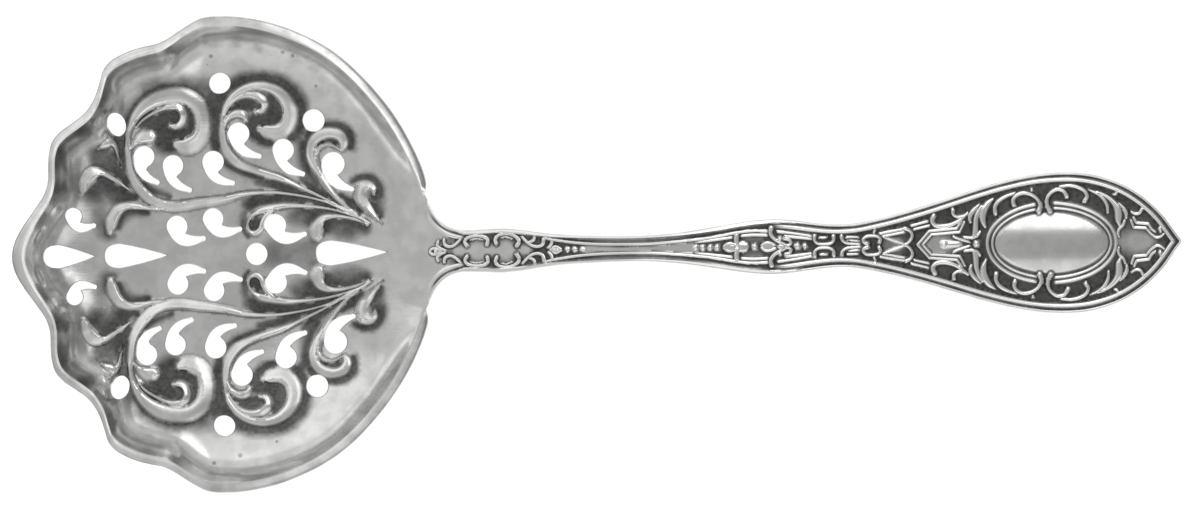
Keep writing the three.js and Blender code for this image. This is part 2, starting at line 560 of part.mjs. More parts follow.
// Loops of [offset, height] about the cartouche's ring, closed on themselves or capped at the middle.
function ovalBand(profile, capped) {
  const steps = 32;
  const rows = profile.map(([off, z]) => oval(CARTOUCHE.reach + off, CARTOUCHE.half + off, steps)
    .map(([x, y]) => [x, y, fieldFace(x) + z]));
  const points = rows.flat();
  const faces = [];
  const bands = capped ? rows.length - 1 : rows.length;
  for (let i = 0; i < bands; i += 1) {
    for (let j = 0; j < steps; j += 1) {
      const k = (j + 1) % steps;
      const n = ((i + 1) % rows.length) * steps;
      faces.push([i * steps + j, i * steps + k, n + k], [i * steps + j, n + k, n + j]);
    }
  }
  if (capped) {
    for (const [row, flip] of [[0, true], [rows.length - 1, false]]) {
      const flat = rows[row].map((p) => new THREE.Vector2(p[0], p[1]));
      for (const face of THREE.ShapeUtils.triangulateShape(flat, [])) {
        const turned = face.map((k) => k + row * steps);
        faces.push(flip ? turned.reverse() : turned);
      }
    }
  }
  return solid(geometryOf(points, faces));
}

function handleBody() {
  const place = (points) => points.map(([x, y, w]) => [along(x), y * SPREAD, w * SPREAD]);
  const parts = [solid(loft(PLAN.map(handleSection)))];
  for (const [steps, points] of STROKES) {
    parts.push(ridge(place(points), steps, fieldFace, ORNAMENT_RISE, 0.2));
    parts.push(ridge(mirrored(place(points)), steps, fieldFace, ORNAMENT_RISE, 0.2));
  }
  for (const [x, length, width] of BEADS) {
    parts.push(bead(along(x), 0, length * STRETCH, width * SPREAD, fieldFace, BEAD_RISE));
  }
  const top = CARTOUCHE_RISE;
  parts.push(ovalBand([[0.5, -0.2], [0.38, 0.7 * top], [0.18, 0.7 * top], [0, 0.15], [-0.18, 0.7 * top],
    [-0.38, 0.7 * top], [-0.5, -0.2]], false));
  const half = CARTOUCHE.half;
  parts.push(ovalBand([[-0.62, -0.2], [-0.62, 0.05], [-0.31 * half, 0.5 * top], [-0.57 * half, 0.85 * top],
    [-0.86 * half, top]], true));
  return joined(parts);
}

// Solder film: fills the joint between the neck's flat edge and the handle's flared end.

function seamBody() {
  const wide = NECK_WIDTH / 2;
  const narrow = PLAN[0][1] * SPREAD;
  const foot = NECK_TOP - thickness(DRAWN.handleStart);
  const frame = (x, half, low, high) => [[x, -half, low], [x, half, low], [x, half, high], [x, -half, high]];
  const loops = [
    frame(SEAM_X, wide, RIM_HEIGHT - SEAM_DEPTH, RIM_HEIGHT),
    frame(HANDLE_X, narrow, foot, NECK_TOP),
  ];
  return solid(loft(loops));
}

const spoon = new THREE.Group();
spoon.add(asMesh("bowl", bowlBody(), silver));
spoon.add(asMesh("solder_seam", seamBody(), { ...silver, color: 0xa8a8a4, roughness: 0.4 }));
spoon.add(asMesh("handle", handleBody(), { ...silver, color: 0x9c9c9a }));

export default spoon;
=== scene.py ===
import math

import bpy
import numpy as np
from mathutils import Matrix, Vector, noise
from mathutils.geometry import delaunay_2d_cdt
from mathutils.kdtree import KDTree


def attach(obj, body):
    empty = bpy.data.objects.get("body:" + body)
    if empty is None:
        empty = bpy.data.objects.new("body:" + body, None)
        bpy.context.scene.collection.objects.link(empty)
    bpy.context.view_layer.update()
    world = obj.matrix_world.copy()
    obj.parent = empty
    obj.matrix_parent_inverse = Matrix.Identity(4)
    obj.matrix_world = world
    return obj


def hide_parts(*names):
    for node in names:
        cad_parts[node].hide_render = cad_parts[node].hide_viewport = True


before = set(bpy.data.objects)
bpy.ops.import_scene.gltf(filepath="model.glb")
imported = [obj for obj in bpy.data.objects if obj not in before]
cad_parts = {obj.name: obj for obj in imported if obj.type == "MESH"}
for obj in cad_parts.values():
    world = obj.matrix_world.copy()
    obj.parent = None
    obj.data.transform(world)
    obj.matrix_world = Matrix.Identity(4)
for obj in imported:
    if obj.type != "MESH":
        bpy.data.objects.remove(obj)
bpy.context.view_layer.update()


# Bowl: one sheet of sterling silver struck into a shallow dish, its scalloped edge turned over into a lip.
# Scrolls and leaves are raised on its floor by the die, and the commas, wedges and rounds are sawn out.
# Old polish has left the crests bright, and tarnish has stayed in the ground between the scrolls.
MM = 0.001
SHEET = 0.8
RIM_HEIGHT = 6.5
BOWL_HALF = 26.45
NECK_X = 23.3
NECK_HALF = 6.4
NECK_LIP = 0.35
NECK_LIFT = 0.19
NECK_COLUMNS = 58
RIM_STEP = 0.22
SCROLL_RISE = 0.42

# Upper half of the rim from the neck round to the tip: x, y, width of the turned lip.
UPPER_RIM = [
    (23.5, 7.5, 0.8), (23.15, 9.0, 1.0), (22.4, 10.9, 1.1), (21.2, 13.3, 1.1), (19.7, 15.7, 1.1),
    (18.0, 17.9, 1.1), (16.1, 20.0, 1.1), (14.0, 21.9, 1.1), (12.1, 23.2, 1.1), (10.0, 24.3, 1.1),
    (7.4, 25.35, 1.1), (5.0, 26.0, 1.1), (2.3, 26.4, 1.1), (0.2, 26.45, 1.1), (-1.4, 26.2, 1.05),
    (-2.6, 25.6, 1.0), (-3.7, 24.9, 0.95), (-4.9, 24.1, 0.95), (-6.1, 23.5, 0.95), (-7.5, 23.2, 1.0),
    (-9.0, 22.8, 1.0), (-10.4, 22.2, 1.0), (-11.5, 21.5, 0.95), (-12.2, 20.6, 0.9), (-12.55, 19.5, 0.85),
    (-12.95, 18.2, 0.85), (-13.5, 17.0, 0.85), (-14.4, 15.8, 0.9), (-15.7, 14.8, 0.95), (-17.1, 13.8, 0.95),
    (-17.95, 12.8, 0.9), (-18.35, 11.4, 0.85), (-18.45, 10.0, 0.85), (-18.5, 8.4, 0.85), (-18.9, 7.0, 0.9),
    (-20.0, 5.3, 1.05), (-21.4, 3.3, 1.25), (-22.3, 1.6, 1.4),
]
RIM_TIP = (-22.6, 0.0, 1.4)
FLOOR_LENGTH = 16.0
FLOOR_WIDTH = 18.0
WALL_FOOT = 1.8
SWEEP_SPAN = 0.45
SWEEP_POWER = 1.5
GENTLE_SHARE = 0.27
PLAIN_GENTLER = 0.48
LOBE_STEEPNESS = 9.0
PLAIN_STEEPNESS = 18.0
# Where the lobed side passes into the plain side, as cosines of the angle from the neck: the wall, the lip.
PLAIN_WALL = (-0.5, 0.6)
PLAIN_RIM = (-0.45, 0.0)
SPUN_FROM = 0.93
BACK_GUESSES = 12

# The turned lip from its crest outward, on the lobed side and on the plain side: how far out, in
# millimetres and as a share of the lip's width, its fall there and how dull it is.
LOBED_LIP = [
    (0.02, 0.0, 0.0, 0.0), (0.04, 0.0, 0.014, 0.0), (0.08, 0.0, 0.046, 0.0), (0.3, 0.0, 0.227, 0.0),
    (0.34, 0.0, 0.254, 0.02), (0.0, 0.6, 0.295, 0.1), (0.0, 0.87, 0.35, 0.25), (0.0, 0.97, 0.42, 0.9),
]
PLAIN_LIP = [
    (0.0, 0.03, 0.0, 0.08), (0.0, 0.08, 0.007, 0.11), (0.0, 0.14, 0.015, 0.15), (0.0, 0.3, 0.068, 0.27),
    (0.0, 0.36, 0.09, 0.32), (0.0, 0.65, 0.21, 0.4), (0.0, 0.87, 0.33, 0.4), (0.0, 0.97, 0.42, 0.4),
]


def smooth(low, high, value):
    t = np.clip((value - low) / (high - low), 0.0, 1.0)
    return t * t * (3.0 - 2.0 * t)


def flow(rows, step):
    """An even run of points along a smooth line drawn through the given rows."""
    rows = np.array(rows, dtype=float)
    spans = np.linalg.norm(np.diff(rows[:, :2], axis=0), axis=1)
    stations = np.concatenate([[0.0], np.cumsum(spans)])
    rates = np.diff(rows, axis=0) / spans[:, None]
    slopes = np.vstack([rates[:1], 0.5 * (rates[:-1] + rates[1:]), rates[-1:]])
    count = max(3, int(math.ceil(stations[-1] / step)) + 1)
    along = np.linspace(0.0, stations[-1], count)
    k = np.clip(np.searchsorted(stations, along, side="right") - 1, 0, len(spans) - 1)
    span = spans[k][:, None]
    t = ((along - stations[k]) / spans[k])[:, None]
    s = t * t * (3.0 - 2.0 * t)
    bend = t * (1.0 - t) ** 2 * slopes[k] * span - t * t * (1.0 - t) * slopes[k + 1] * span
    return rows[k] * (1.0 - s) + rows[k + 1] * s + bend


def lower_half(rows):
    return [(row[0], -row[1], *row[2:]) for row in rows]


def rim_columns():
    corner = (NECK_X, NECK_HALF, NECK_LIP, 1.0)
    upper = [(x, y, lip, 0.0) for x, y, lip in UPPER_RIM]
    rows = [corner] + upper + [(*RIM_TIP, 0.0)] + lower_half(upper[::-1]) + lower_half([corner])
    rim = flow(rows, RIM_STEP)
    rim[:, 3] = np.clip(rim[:, 3], 0.0, 1.0)
    rim[:, 1] = np.clip(rim[:, 1], -BOWL_HALF, BOWL_HALF)
    across = np.linspace(-NECK_HALF, NECK_HALF, NECK_COLUMNS)[1:-1]
    neck = np.array([(NECK_X, y, NECK_LIP, 1.0) for y in across])
    return np.vstack([rim, neck])


columns = rim_columns()
column_angle = np.unwrap(np.arctan2(columns[:, 1], columns[:, 0]))
column_reach = np.hypot(columns[:, 0], columns[:, 1])
column_lip = columns[:, 2]
column_neck = columns[:, 3]


def floor_reach(angle):
    return 0.5 / np.hypot(np.cos(angle) / FLOOR_LENGTH, np.sin(angle) / FLOOR_WIDTH)


def section_at(angle):
    """Foot and crest of the dish's wall, and how far it sweeps up into the neck."""
    turn = np.mod(angle - column_angle[0], math.tau) + column_angle[0]
    ring_angle = np.append(column_angle, column_angle[0] + math.tau)
    reach = np.interp(turn, ring_angle, np.append(column_reach, column_reach[0]))
    lip = np.interp(turn, ring_angle, np.append(column_lip, column_lip[0]))
    crest = reach - lip
    foot = np.minimum(floor_reach(angle), crest - WALL_FOOT)
    turned = np.abs(np.mod(angle + math.pi, math.tau) - math.pi)
    sweep = 1.0 - smooth(0.0, 1.0, (turned - math.atan2(NECK_HALF, NECK_X)) / SWEEP_SPAN)
    return foot, crest, sweep


def wall_form(angle):
    """How much of the rise is gentle, and how late the steep rest comes: latest on the plain side."""
    plain = smooth(*PLAIN_WALL, np.cos(angle))
    gentle = GENTLE_SHARE + PLAIN_GENTLER * plain
    return gentle, LOBE_STEEPNESS + (PLAIN_STEEPNESS - LOBE_STEEPNESS) * plain


def climb(u, sweep, angle):
    """Share of the rim's height: a gentle rise, more so toward the neck, then steep just under the lip."""
    gentle, steep = wall_form(angle)
    dish = gentle * u ** 2 + (1.0 - gentle) * u ** steep
    return sweep * u ** SWEEP_POWER + (1.0 - sweep) * dish


def climb_rate(u, sweep, angle):
    gentle, steep = wall_form(angle)
    dish = 2.0 * gentle * u + (1.0 - gentle) * steep * u ** (steep - 1.0)
    return sweep * SWEEP_POWER * u ** (SWEEP_POWER - 1.0) + (1.0 - sweep) * dish


def wall_height(u, sweep, angle):
    return SHEET + (RIM_HEIGHT - SHEET) * climb(u, sweep, angle)


def wall_lean(u, sweep, angle, run):
    return np.arctan((RIM_HEIGHT - SHEET) * climb_rate(u, sweep, angle) / run)


def dish_face(x, y):
    angle = np.arctan2(y, x)
    foot, crest, sweep = section_at(angle)
    u = np.clip((np.hypot(x, y) - foot) / (crest - foot), 0.0, 1.0)
    return wall_height(u, sweep, angle)


def dish_back(x, y):
    """Height of the sheet's underside: the upper face moved out by the sheet's thickness."""
    angle = np.arctan2(y, x)
    reach = np.hypot(x, y)
    foot, crest, sweep = section_at(angle)
    run = crest - foot
    shift = np.zeros_like(reach)
    for _ in range(BACK_GUESSES):
        u = np.clip((reach - shift - foot) / run, 0.0, 1.0)
        lean = wall_lean(u, sweep, angle, run)
        shift = SHEET * np.sin(lean)
    return wall_height(u, sweep, angle) - SHEET * np.cos(lean)


# Scroll bands of the upper half: the side of travel that the crest leans to, 1 for left, then x, y, width.
# In order: the long stem with its volute, the hooks inside both volutes, a small curl, the second stem
# with its volute and curl, the hooked leaf, two leaves beside the middle, the leaves on the stem's back.
SCROLL_BANDS = [
    (-1, [(16.8, 3.45, 0.2), (15.4, 4.2, 0.28), (14.0, 4.85, 0.3), (12.4, 5.6, 0.32), (10.6, 6.15, 0.36),
       (8.6, 6.55, 0.42), (6.0, 6.85, 0.5), (3.0, 6.67, 0.65), (1.0, 6.18, 0.84), (-2.0, 5.75, 1.05),
       (-5.0, 5.45, 1.15), (-6.7, 5.85, 1.1), (-8.1, 6.95, 1.15), (-9.1, 8.3, 1.05), (-9.65, 9.85, 0.95),
       (-9.8, 11.45, 0.85), (-9.9, 12.4, 0.6), (-9.72, 13.7, 0.65), (-9.2, 15.1, 0.95), (-8.3, 16.3, 1.35),
       (-7.0, 17.25, 1.7), (-5.5, 17.75, 1.85), (-3.9, 17.85, 1.85), (-2.75, 17.45, 1.8),
       (-1.85, 16.6, 1.8), (-1.45, 15.4, 1.75), (-1.45, 14.1, 1.75), (-1.9, 12.95, 1.8),
       (-2.8, 12.25, 1.9), (-3.7, 12.1, 1.7), (-4.4, 12.35, 1.0)]),
    (-1, [(-8.9, 14.3, 0.3), (-8.0, 15.2, 0.4), (-6.8, 15.95, 0.5), (-5.4, 16.5, 0.7), (-4.4, 16.55, 0.9),
       (-3.75, 16.15, 1.0), (-3.55, 15.4, 1.0), (-3.85, 14.7, 0.95), (-4.5, 14.35, 0.8),
       (-5.1, 14.45, 0.5)]),
    (-1, [(1.0, 15.6, 0.3), (1.5, 16.5, 0.45), (2.3, 17.3, 0.6), (3.2, 17.7, 0.75), (4.1, 17.75, 0.85),
       (5.0, 17.35, 0.95), (5.5, 16.7, 0.95), (5.2, 16.0, 0.8), (4.5, 15.85, 0.5)]),
    (-1, [(-9.6, 11.83, 0.35), (-9.35, 12.15, 0.5), (-8.75, 12.8, 0.9), (-8.0, 13.2, 1.4),
       (-7.4, 13.3, 1.5)]),
    (-1, [(16.4, 3.75, 0.2), (14.2, 4.95, 0.25), (12.5, 5.85, 0.3), (11.0, 6.6, 0.4), (9.7, 7.2, 0.5),
       (8.5, 7.8, 0.6), (7.0, 8.45, 0.75), (5.4, 8.95, 0.8), (3.8, 9.5, 0.85), (2.4, 10.2, 1.0),
       (1.4, 11.25, 1.05), (0.85, 12.5, 1.0), (0.75, 13.6, 0.95), (0.72, 14.5, 0.7), (0.75, 15.3, 0.5),
       (1.1, 16.5, 0.7), (1.9, 17.6, 0.8), (3.0, 18.35, 0.85), (4.3, 18.7, 0.95), (5.9, 18.6, 1.1),
       (7.2, 17.95, 1.3), (8.1, 16.9, 1.5), (8.45, 15.6, 1.7), (8.15, 14.4, 1.75), (7.3, 13.6, 1.7),
       (6.2, 13.5, 1.65), (5.4, 13.75, 1.25), (4.95, 13.9, 0.8)]),
    (-1, [(0.9, 14.2, 0.5), (1.1, 14.8, 0.6), (1.4, 15.2, 0.7), (1.95, 15.6, 0.8), (2.7, 15.72, 0.9),
       (3.2, 15.4, 0.8), (3.35, 15.0, 0.6)]),
    (-1, [(11.9, 8.2, 0.6), (10.8, 9.9, 0.85), (10.5, 11.2, 1.0), (10.85, 12.5, 1.15), (11.8, 13.25, 1.3),
       (13.0, 13.4, 1.2), (14.0, 13.0, 1.2), (14.35, 12.2, 1.0), (14.1, 11.5, 0.6)]),
    (1, [(17.0, 3.2, 0.2), (15.8, 3.9, 0.25), (13.8, 4.6, 0.35), (11.8, 5.05, 0.42), (9.6, 5.3, 0.55),
       (7.6, 5.35, 0.7), (6.0, 5.1, 0.85), (4.8, 4.8, 0.75), (3.9, 4.3, 0.55), (3.4, 3.5, 0.4),
       (3.5, 2.65, 0.5), (4.2, 2.3, 0.7), (4.9, 2.75, 0.8), (5.1, 3.5, 0.75), (5.6, 4.3, 0.75),
       (6.3, 4.9, 0.5)]),
    (1, [(17.2, 3.0, 0.15), (15.8, 3.55, 0.35), (14.4, 3.95, 0.45), (13.0, 4.1, 0.6), (11.9, 3.9, 0.9),
       (11.3, 3.3, 1.3), (11.1, 2.6, 1.6), (11.15, 2.0, 1.4)]),
    (1, [(-5.6, 5.05, 0.2), (-7.4, 5.25, 0.55), (-8.8, 5.5, 0.75), (-10.2, 5.55, 0.95), (-11.0, 5.1, 1.15),
       (-11.6, 4.2, 1.25), (-11.9, 3.3, 1.2), (-12.0, 2.7, 0.8)]),
    (1, [(-9.4, 7.0, 0.2), (-10.6, 7.95, 0.45), (-11.7, 8.7, 0.6), (-12.8, 9.3, 0.8), (-13.7, 9.2, 1.5),
       (-14.4, 8.4, 1.4), (-14.8, 7.4, 0.9), (-14.9, 6.9, 0.5)]),
    (1, [(-10.7, 10.0, 0.15), (-10.95, 11.1, 0.4), (-11.3, 12.3, 0.6), (-11.7, 12.6, 1.0),
       (-12.4, 12.3, 0.8), (-13.0, 12.0, 0.35)]),
    (1, [(-11.5, 12.6, 0.5), (-11.9, 13.3, 0.35), (-12.1, 13.8, 0.15)]),
]

# Ribs struck to a sharp crest: the leaf's inner rib and the bud.
SHARP_RIBS = [
    [(17.2, 3.2, 0.25), (15.0, 4.7, 0.4), (13.2, 6.4, 0.6), (11.9, 8.2, 0.8), (11.15, 9.9, 0.85),
     (11.1, 11.0, 0.7), (11.6, 11.8, 0.6), (12.6, 12.05, 0.5), (13.4, 11.8, 0.4), (13.9, 11.4, 0.25)],
    [(18.5, 3.15, 0.15), (17.6, 4.1, 0.6), (16.85, 4.95, 1.0), (16.25, 5.8, 1.3), (16.1, 6.6, 1.4),
     (16.35, 7.25, 1.35), (16.95, 7.4, 1.1), (17.5, 7.0, 0.8), (17.6, 6.5, 0.4)],
]

# Soft ridges pinched up where two lobes of the wall meet.
PINCHES = [
    [(-13.6, 14.5, 0.4), (-12.8, 15.1, 0.8), (-11.9, 16.2, 0.3)],
    [(-12.9, 13.2, 0.3), (-12.5, 13.9, 0.6), (-11.9, 14.6, 0.2)],
    [(-18.3, 4.1, 0.4), (-17.8, 5.0, 0.8), (-17.0, 6.2, 0.3)],
    [(-19.9, 1.2, 0.3), (-19.7, 2.2, 0.8), (-19.0, 3.3, 0.4)],
    [(-5.2, 20.6, 0.3), (-4.6, 21.5, 0.7), (-4.4, 22.4, 0.3)],
]
PINCH_RISE = 0.34

# Where tarnish has gathered in the ground of the upper half: its strength, then x, y and half width.
TARNISH_POOLS = [
    (1.1, [(-10.5, 9.6, 0.5), (-10.5, 11.5, 0.6), (-10.45, 13.5, 0.6), (-9.9, 15.8, 0.8), (-8.6, 17.8, 0.9),
      (-6.8, 18.9, 0.8), (-4.6, 19.3, 0.8), (-2.4, 19.2, 0.9), (-0.9, 18.2, 1.0)]),
    (1.5, [(-0.1, 11.6, 0.4), (-0.05, 13.5, 0.6), (0.0, 15.5, 0.7), (0.05, 17.2, 1.1), (0.2, 18.0, 1.4)]),
    (1.6, [(-8.2, 14.9, 0.6), (-7.0, 15.6, 1.2), (-5.6, 15.9, 1.4), (-4.9, 15.2, 1.1)]),
    (1.6, [(-3.4, 17.1, 0.5), (-2.6, 16.2, 1.1), (-2.3, 15.2, 1.2), (-2.6, 14.0, 1.3), (-3.6, 13.6, 1.2),
      (-5.0, 13.3, 1.3), (-5.6, 12.4, 1.1)]),
    (1.6, [(-6.2, 14.6, 1.4), (-5.8, 13.4, 1.2)]),
    (1.5, [(-9.2, 6.5, 0.4), (-10.4, 6.9, 0.9), (-11.8, 7.3, 1.3), (-13.0, 7.6, 1.3), (-13.3, 6.6, 1.0)]),
    (1.5, [(-10.0, 8.2, 0.3), (-10.9, 9.1, 0.7), (-11.9, 10.3, 1.1), (-12.6, 11.0, 1.1),
      (-13.4, 11.0, 0.9)]),
    (1.4, [(-10.4, 9.6, 0.3), (-10.4, 11.0, 0.4), (-10.6, 12.6, 0.6), (-10.9, 13.2, 0.5)]),
    (0.65, [(-13.6, 10.7, 0.5), (-15.0, 10.3, 0.8), (-15.9, 9.2, 0.8), (-15.9, 7.8, 0.8), (-15.3, 6.7, 0.7),
      (-14.6, 6.5, 0.5)]),
    (1.0, [(-13.2, 6.0, 0.6), (-13.3, 4.8, 0.7), (-13.1, 3.4, 0.8), (-12.4, 2.3, 0.7), (-11.6, 2.2, 0.4)]),
    (1.2, [(-11.0, 3.2, 0.4), (-10.5, 4.3, 0.7), (-9.4, 4.8, 0.6), (-7.8, 4.75, 0.35)]),
    (1.2, [(-8.1, 8.0, 0.3), (-6.8, 7.2, 0.35), (-5.2, 6.6, 0.25)]),
    (1.55, [(0.3, 16.6, 0.7), (1.2, 18.3, 0.8), (2.8, 19.3, 0.7), (4.6, 19.7, 0.65), (6.6, 19.5, 0.65),
      (8.3, 18.6, 0.7), (9.4, 17.2, 0.75), (9.7, 15.6, 0.7), (9.3, 14.0, 0.7), (8.6, 12.9, 0.5)]),
    (1.6, [(2.0, 16.4, 0.5), (3.2, 16.9, 0.8), (4.3, 16.8, 0.9), (4.9, 16.4, 0.6)]),
    (1.6, [(6.5, 17.5, 0.6), (6.8, 16.6, 0.9), (6.4, 15.5, 1.2), (5.2, 15.0, 1.0), (4.3, 14.6, 0.8),
      (4.2, 13.4, 0.6), (4.9, 12.6, 0.45), (6.0, 12.3, 0.4)]),
    (1.3, [(9.0, 13.2, 0.7), (9.6, 11.8, 0.7), (9.6, 10.2, 0.65), (10.1, 8.8, 0.6), (11.0, 7.6, 0.45)]),
    (1.45, [(10.2, 13.1, 0.45), (11.2, 14.0, 0.45), (12.6, 14.3, 0.4), (14.2, 14.1, 0.45),
      (15.1, 13.1, 0.45), (15.1, 11.8, 0.4)]),
    (1.4, [(12.0, 12.5, 0.4), (12.7, 12.75, 0.5), (13.4, 12.5, 0.4)]),
    (1.3, [(9.6, 8.4, 0.4), (10.6, 7.5, 0.5), (11.9, 6.6, 0.4), (13.4, 5.7, 0.2)]),
    (1.3, [(4.5, 8.0, 0.35), (7.0, 7.6, 0.5), (9.0, 7.0, 0.45), (11.0, 6.4, 0.3), (13.0, 5.45, 0.2)]),
    (1.4, [(3.4, 5.4, 0.6), (4.6, 6.0, 0.65), (6.5, 6.15, 0.6), (9.0, 6.0, 0.5), (11.5, 5.6, 0.35),
      (13.5, 5.0, 0.2)]),
    (1.35, [(8.8, 3.9, 0.9), (9.8, 4.0, 1.0), (11.0, 4.5, 0.65), (12.6, 4.65, 0.4), (14.4, 4.3, 0.25)]),
    (1.35, [(12.5, 2.9, 0.7), (13.6, 2.75, 1.1), (15.0, 2.6, 1.1), (16.4, 2.6, 0.7)]),
    (1.4, [(13.9, 6.3, 0.4), (15.0, 5.5, 0.5), (16.1, 4.6, 0.3)]),
    (1.3, [(17.9, 5.9, 0.9), (18.1, 5.0, 0.7), (18.3, 4.1, 0.4)]),
    (1.4, [(15.1, 8.0, 0.35), (16.2, 8.45, 0.4), (17.5, 8.3, 0.45), (18.3, 7.2, 0.5), (18.4, 6.2, 0.5)]),
    (1.1, [(3.2, 5.0, 0.35), (2.85, 3.9, 0.35), (2.85, 2.8, 0.3), (3.4, 1.9, 0.25)]),
    (1.5, [(4.2, 3.7, 0.5), (4.0, 3.1, 0.5)]),
    (1.2, [(0.1, 11.2, 0.3), (1.2, 9.9, 0.3), (3.0, 9.0, 0.35), (5.0, 8.4, 0.35)]),
    (1.15, [(6.2, 0.0, 1.3), (8.0, 0.0, 1.8), (10.0, 0.0, 1.6)]),
]

# Dull and mottled metal on the steep sides of the lobes, given the same way, each half on its own, and
# painted shade in two places of the wall.
WALL_STAINS_AND_SHADE = [
    (0.2, [(-3.4, 23.4, 1.1), (-6.0, 21.8, 1.4), (-8.5, 20.8, 1.7), (-10.6, 19.2, 1.7),
      (-11.3, 17.2, 1.2)]),
    (0.06, [(-13.2, 14.6, 1.0), (-15.2, 13.2, 1.6), (-16.6, 11.6, 1.6), (-17.0, 9.4, 1.5),
      (-17.2, 7.2, 1.2)]),
    (0.2, [(-18.2, 5.6, 1.0), (-18.9, 4.2, 1.0)]),
    # Painted shade: a band along the upper wall, darkened where it faces away from the light.
    (0.3, [(-3.0, 24.0, 0.9), (0.0, 23.8, 1.0), (4.0, 23.4, 0.9), (8.0, 22.2, 0.8), (11.5, 20.7, 0.5)]),
    (0.15, [(-12.5, 16.6, 2.0), (-13.6, 8.8, 3.0), (-14.6, 4.0, 2.4)]),
    (0.24, [(-18.6, -5.0, 1.1), (-17.4, -7.6, 1.3), (-17.0, -10.2, 1.4), (-15.8, -12.6, 1.4)]),
    (0.26, [(-13.4, -14.8, 1.0), (-11.6, -17.2, 1.4), (-10.2, -19.4, 1.4), (-7.8, -20.8, 1.2),
      (-5.6, -21.8, 0.8)]),
    (0.2, [(-13.6, -8.8, 3.0), (-14.6, -4.0, 2.4)]),
    # Painted shade: a patch beside the leftmost comma of the lower half, darkened to dim a reflection.
    (0.42, [(-17.6, -1.8, 1.0), (-17.0, -3.6, 1.5), (-16.2, -5.6, 1.4)]),
]
# The thin film of tarnish that lies on all the metal.
FILM = 0.2

# Small spots of age on the whole bowl: x, y, radius.
AGE_SPOTS = [
    (-0.35, 22.1, 0.3), (-0.8, 21.2, 0.14), (11.3, 18.6, 0.24), (7.7, 22.4, 0.3),
    (8.8, 22.0, 0.24), (2.3, -22.4, 0.34), (-0.6, -23.2, 0.3), (6.4, -20.9, 0.2),
]
SPOT_DARK = 0.62

# Comma piercings of the upper half: head x, y, radius; inner corner; tail tip; bulge of the tail.
COMMAS = [
    (-8.05, 11.05, 1.15, -7.85, 9.6, -6.45, 7.95, 0.24),
    (-4.86, 10.0, 1.15, -4.5, 8.75, -2.83, 7.05, 0.22),
    (-0.38, 10.36, 1.2, 0.14, 9.15, 2.0, 7.8, 0.24),
    (-15.95, 4.5, 0.9, -15.3, 3.8, -13.5, 3.35, 0.34),
    (-4.5, 3.2, 1.17, -3.6, 2.4, -1.3, 1.75, 0.32),
    (-0.47, 4.0, 1.15, 0.5, 3.25, 2.76, 2.75, 0.32),
    (2.53, 13.47, 1.2, 3.1, 12.3, 5.0, 10.75, 0.22),
    (7.48, 11.57, 1.2, 7.9, 10.35, 9.83, 8.7, 0.22),
    (13.05, 9.93, 1.3, 13.5, 8.7, 15.3, 6.9, 0.24),
    (6.47, 3.2, 1.2, 7.5, 2.45, 10.0, 2.1, 0.32),
]
# Round piercings of the upper half, and the one on the centre line: x, y, length, width, turn in degrees.
ROUNDS = [(0.55, 19.1, 2.4, 2.25, 20), (-11.0, 14.65, 1.95, 2.6, 15), (10.97, 14.8, 2.45, 2.45, 0)]
MIDDLE_ROUND = (4.35, 0.0, 2.4, 2.4, 0)
# Wedge piercings on the centre line: blunt end, point, half width.
WEDGES = [(-19.25, -13.7, 1.28), (-12.6, -5.6, 1.32), (11.0, 19.0, 1.35)]
# A comma's tail leaves the head at this angle and ends in a half round of this radius.
TAIL_LEAVES = math.radians(-166)
TAIL_END = 0.27
# Its back bulges and its inner line is hollow, in shares of the back's length.
TAIL_BULGE = 1.75
TAIL_HOLLOW = 0.08
# The head's round begins at this turn past the inner corner.
HEAD_BEGINS = 0.25
# A wedge's side is drawn to a belly, by length and by half width, and its blunt end to a shoulder.
WEDGE_BELLY = (0.55, 0.75)
WEDGE_SHOULDER = 1.3
SAW_STEP = 0.2
HOLE_BEVEL = 0.09


def bent(start, pull, end, count):
    t = np.linspace(0.0, 1.0, count)[:, None]
    return (1 - t) ** 2 * np.array(start) + 2 * t * (1 - t) * np.array(pull) + t * t * np.array(end)


def evenly(loop, step):
    """The closed loop again, with its points a saw step apart and its corners kept."""
    out = []
    for a, b in zip(loop, np.roll(loop, -1, axis=0)):
        pieces = max(1, int(round(np.linalg.norm(b - a) / step)))
        out.extend(a + (b - a) * i / pieces for i in range(pieces))
    return np.array(out)


def comma_loop(comma):
    """One comma's outline: its round head, the back of its tail, the blunt end and the inner line."""
    hx, hy, radius, kx, ky, tx, ty, bulge = comma
    start = math.atan2(ky - hy, kx - hx) + HEAD_BEGINS
    leave = TAIL_LEAVES if TAIL_LEAVES >= start else TAIL_LEAVES + math.tau
    turns = np.linspace(start, leave, 28)
    head = np.column_stack([hx + radius * np.cos(turns), hy + radius * np.sin(turns)])
    tip = np.array([tx, ty])
    corner = np.array([kx, ky])
    lie = math.atan2(ty - ky, tx - kx)
    round_end = np.linspace(lie - 0.5 * math.pi, lie + 0.5 * math.pi, 7)
    middle = tip - TAIL_END * np.array([math.cos(lie), math.sin(lie)])
    end = middle + TAIL_END * np.column_stack([np.cos(round_end), np.sin(round_end)])
    chord = end[0] - head[-1]
    out = np.array([chord[1], -chord[0]])
    back = bent(head[-1], 0.5 * (head[-1] + end[0]) + TAIL_BULGE * bulge * out, end[0], 22)
    inner = bent(end[-1], 0.5 * (corner + end[-1]) + TAIL_HOLLOW * out, corner, 14)
    return np.vstack([head, back[1:], end[1:], inner[1:]])


def round_loop(hole):
    x, y, length, width, turn = hole
    a = np.linspace(0.0, math.tau, 40)[:-1]
    lean = math.radians(turn)
    along = 0.5 * length * np.cos(a)
    across = 0.5 * width * np.sin(a)
    return np.column_stack([
        x + along * math.cos(lean) - across * math.sin(lean),
        y + along * math.sin(lean) + across * math.cos(lean),
    ])


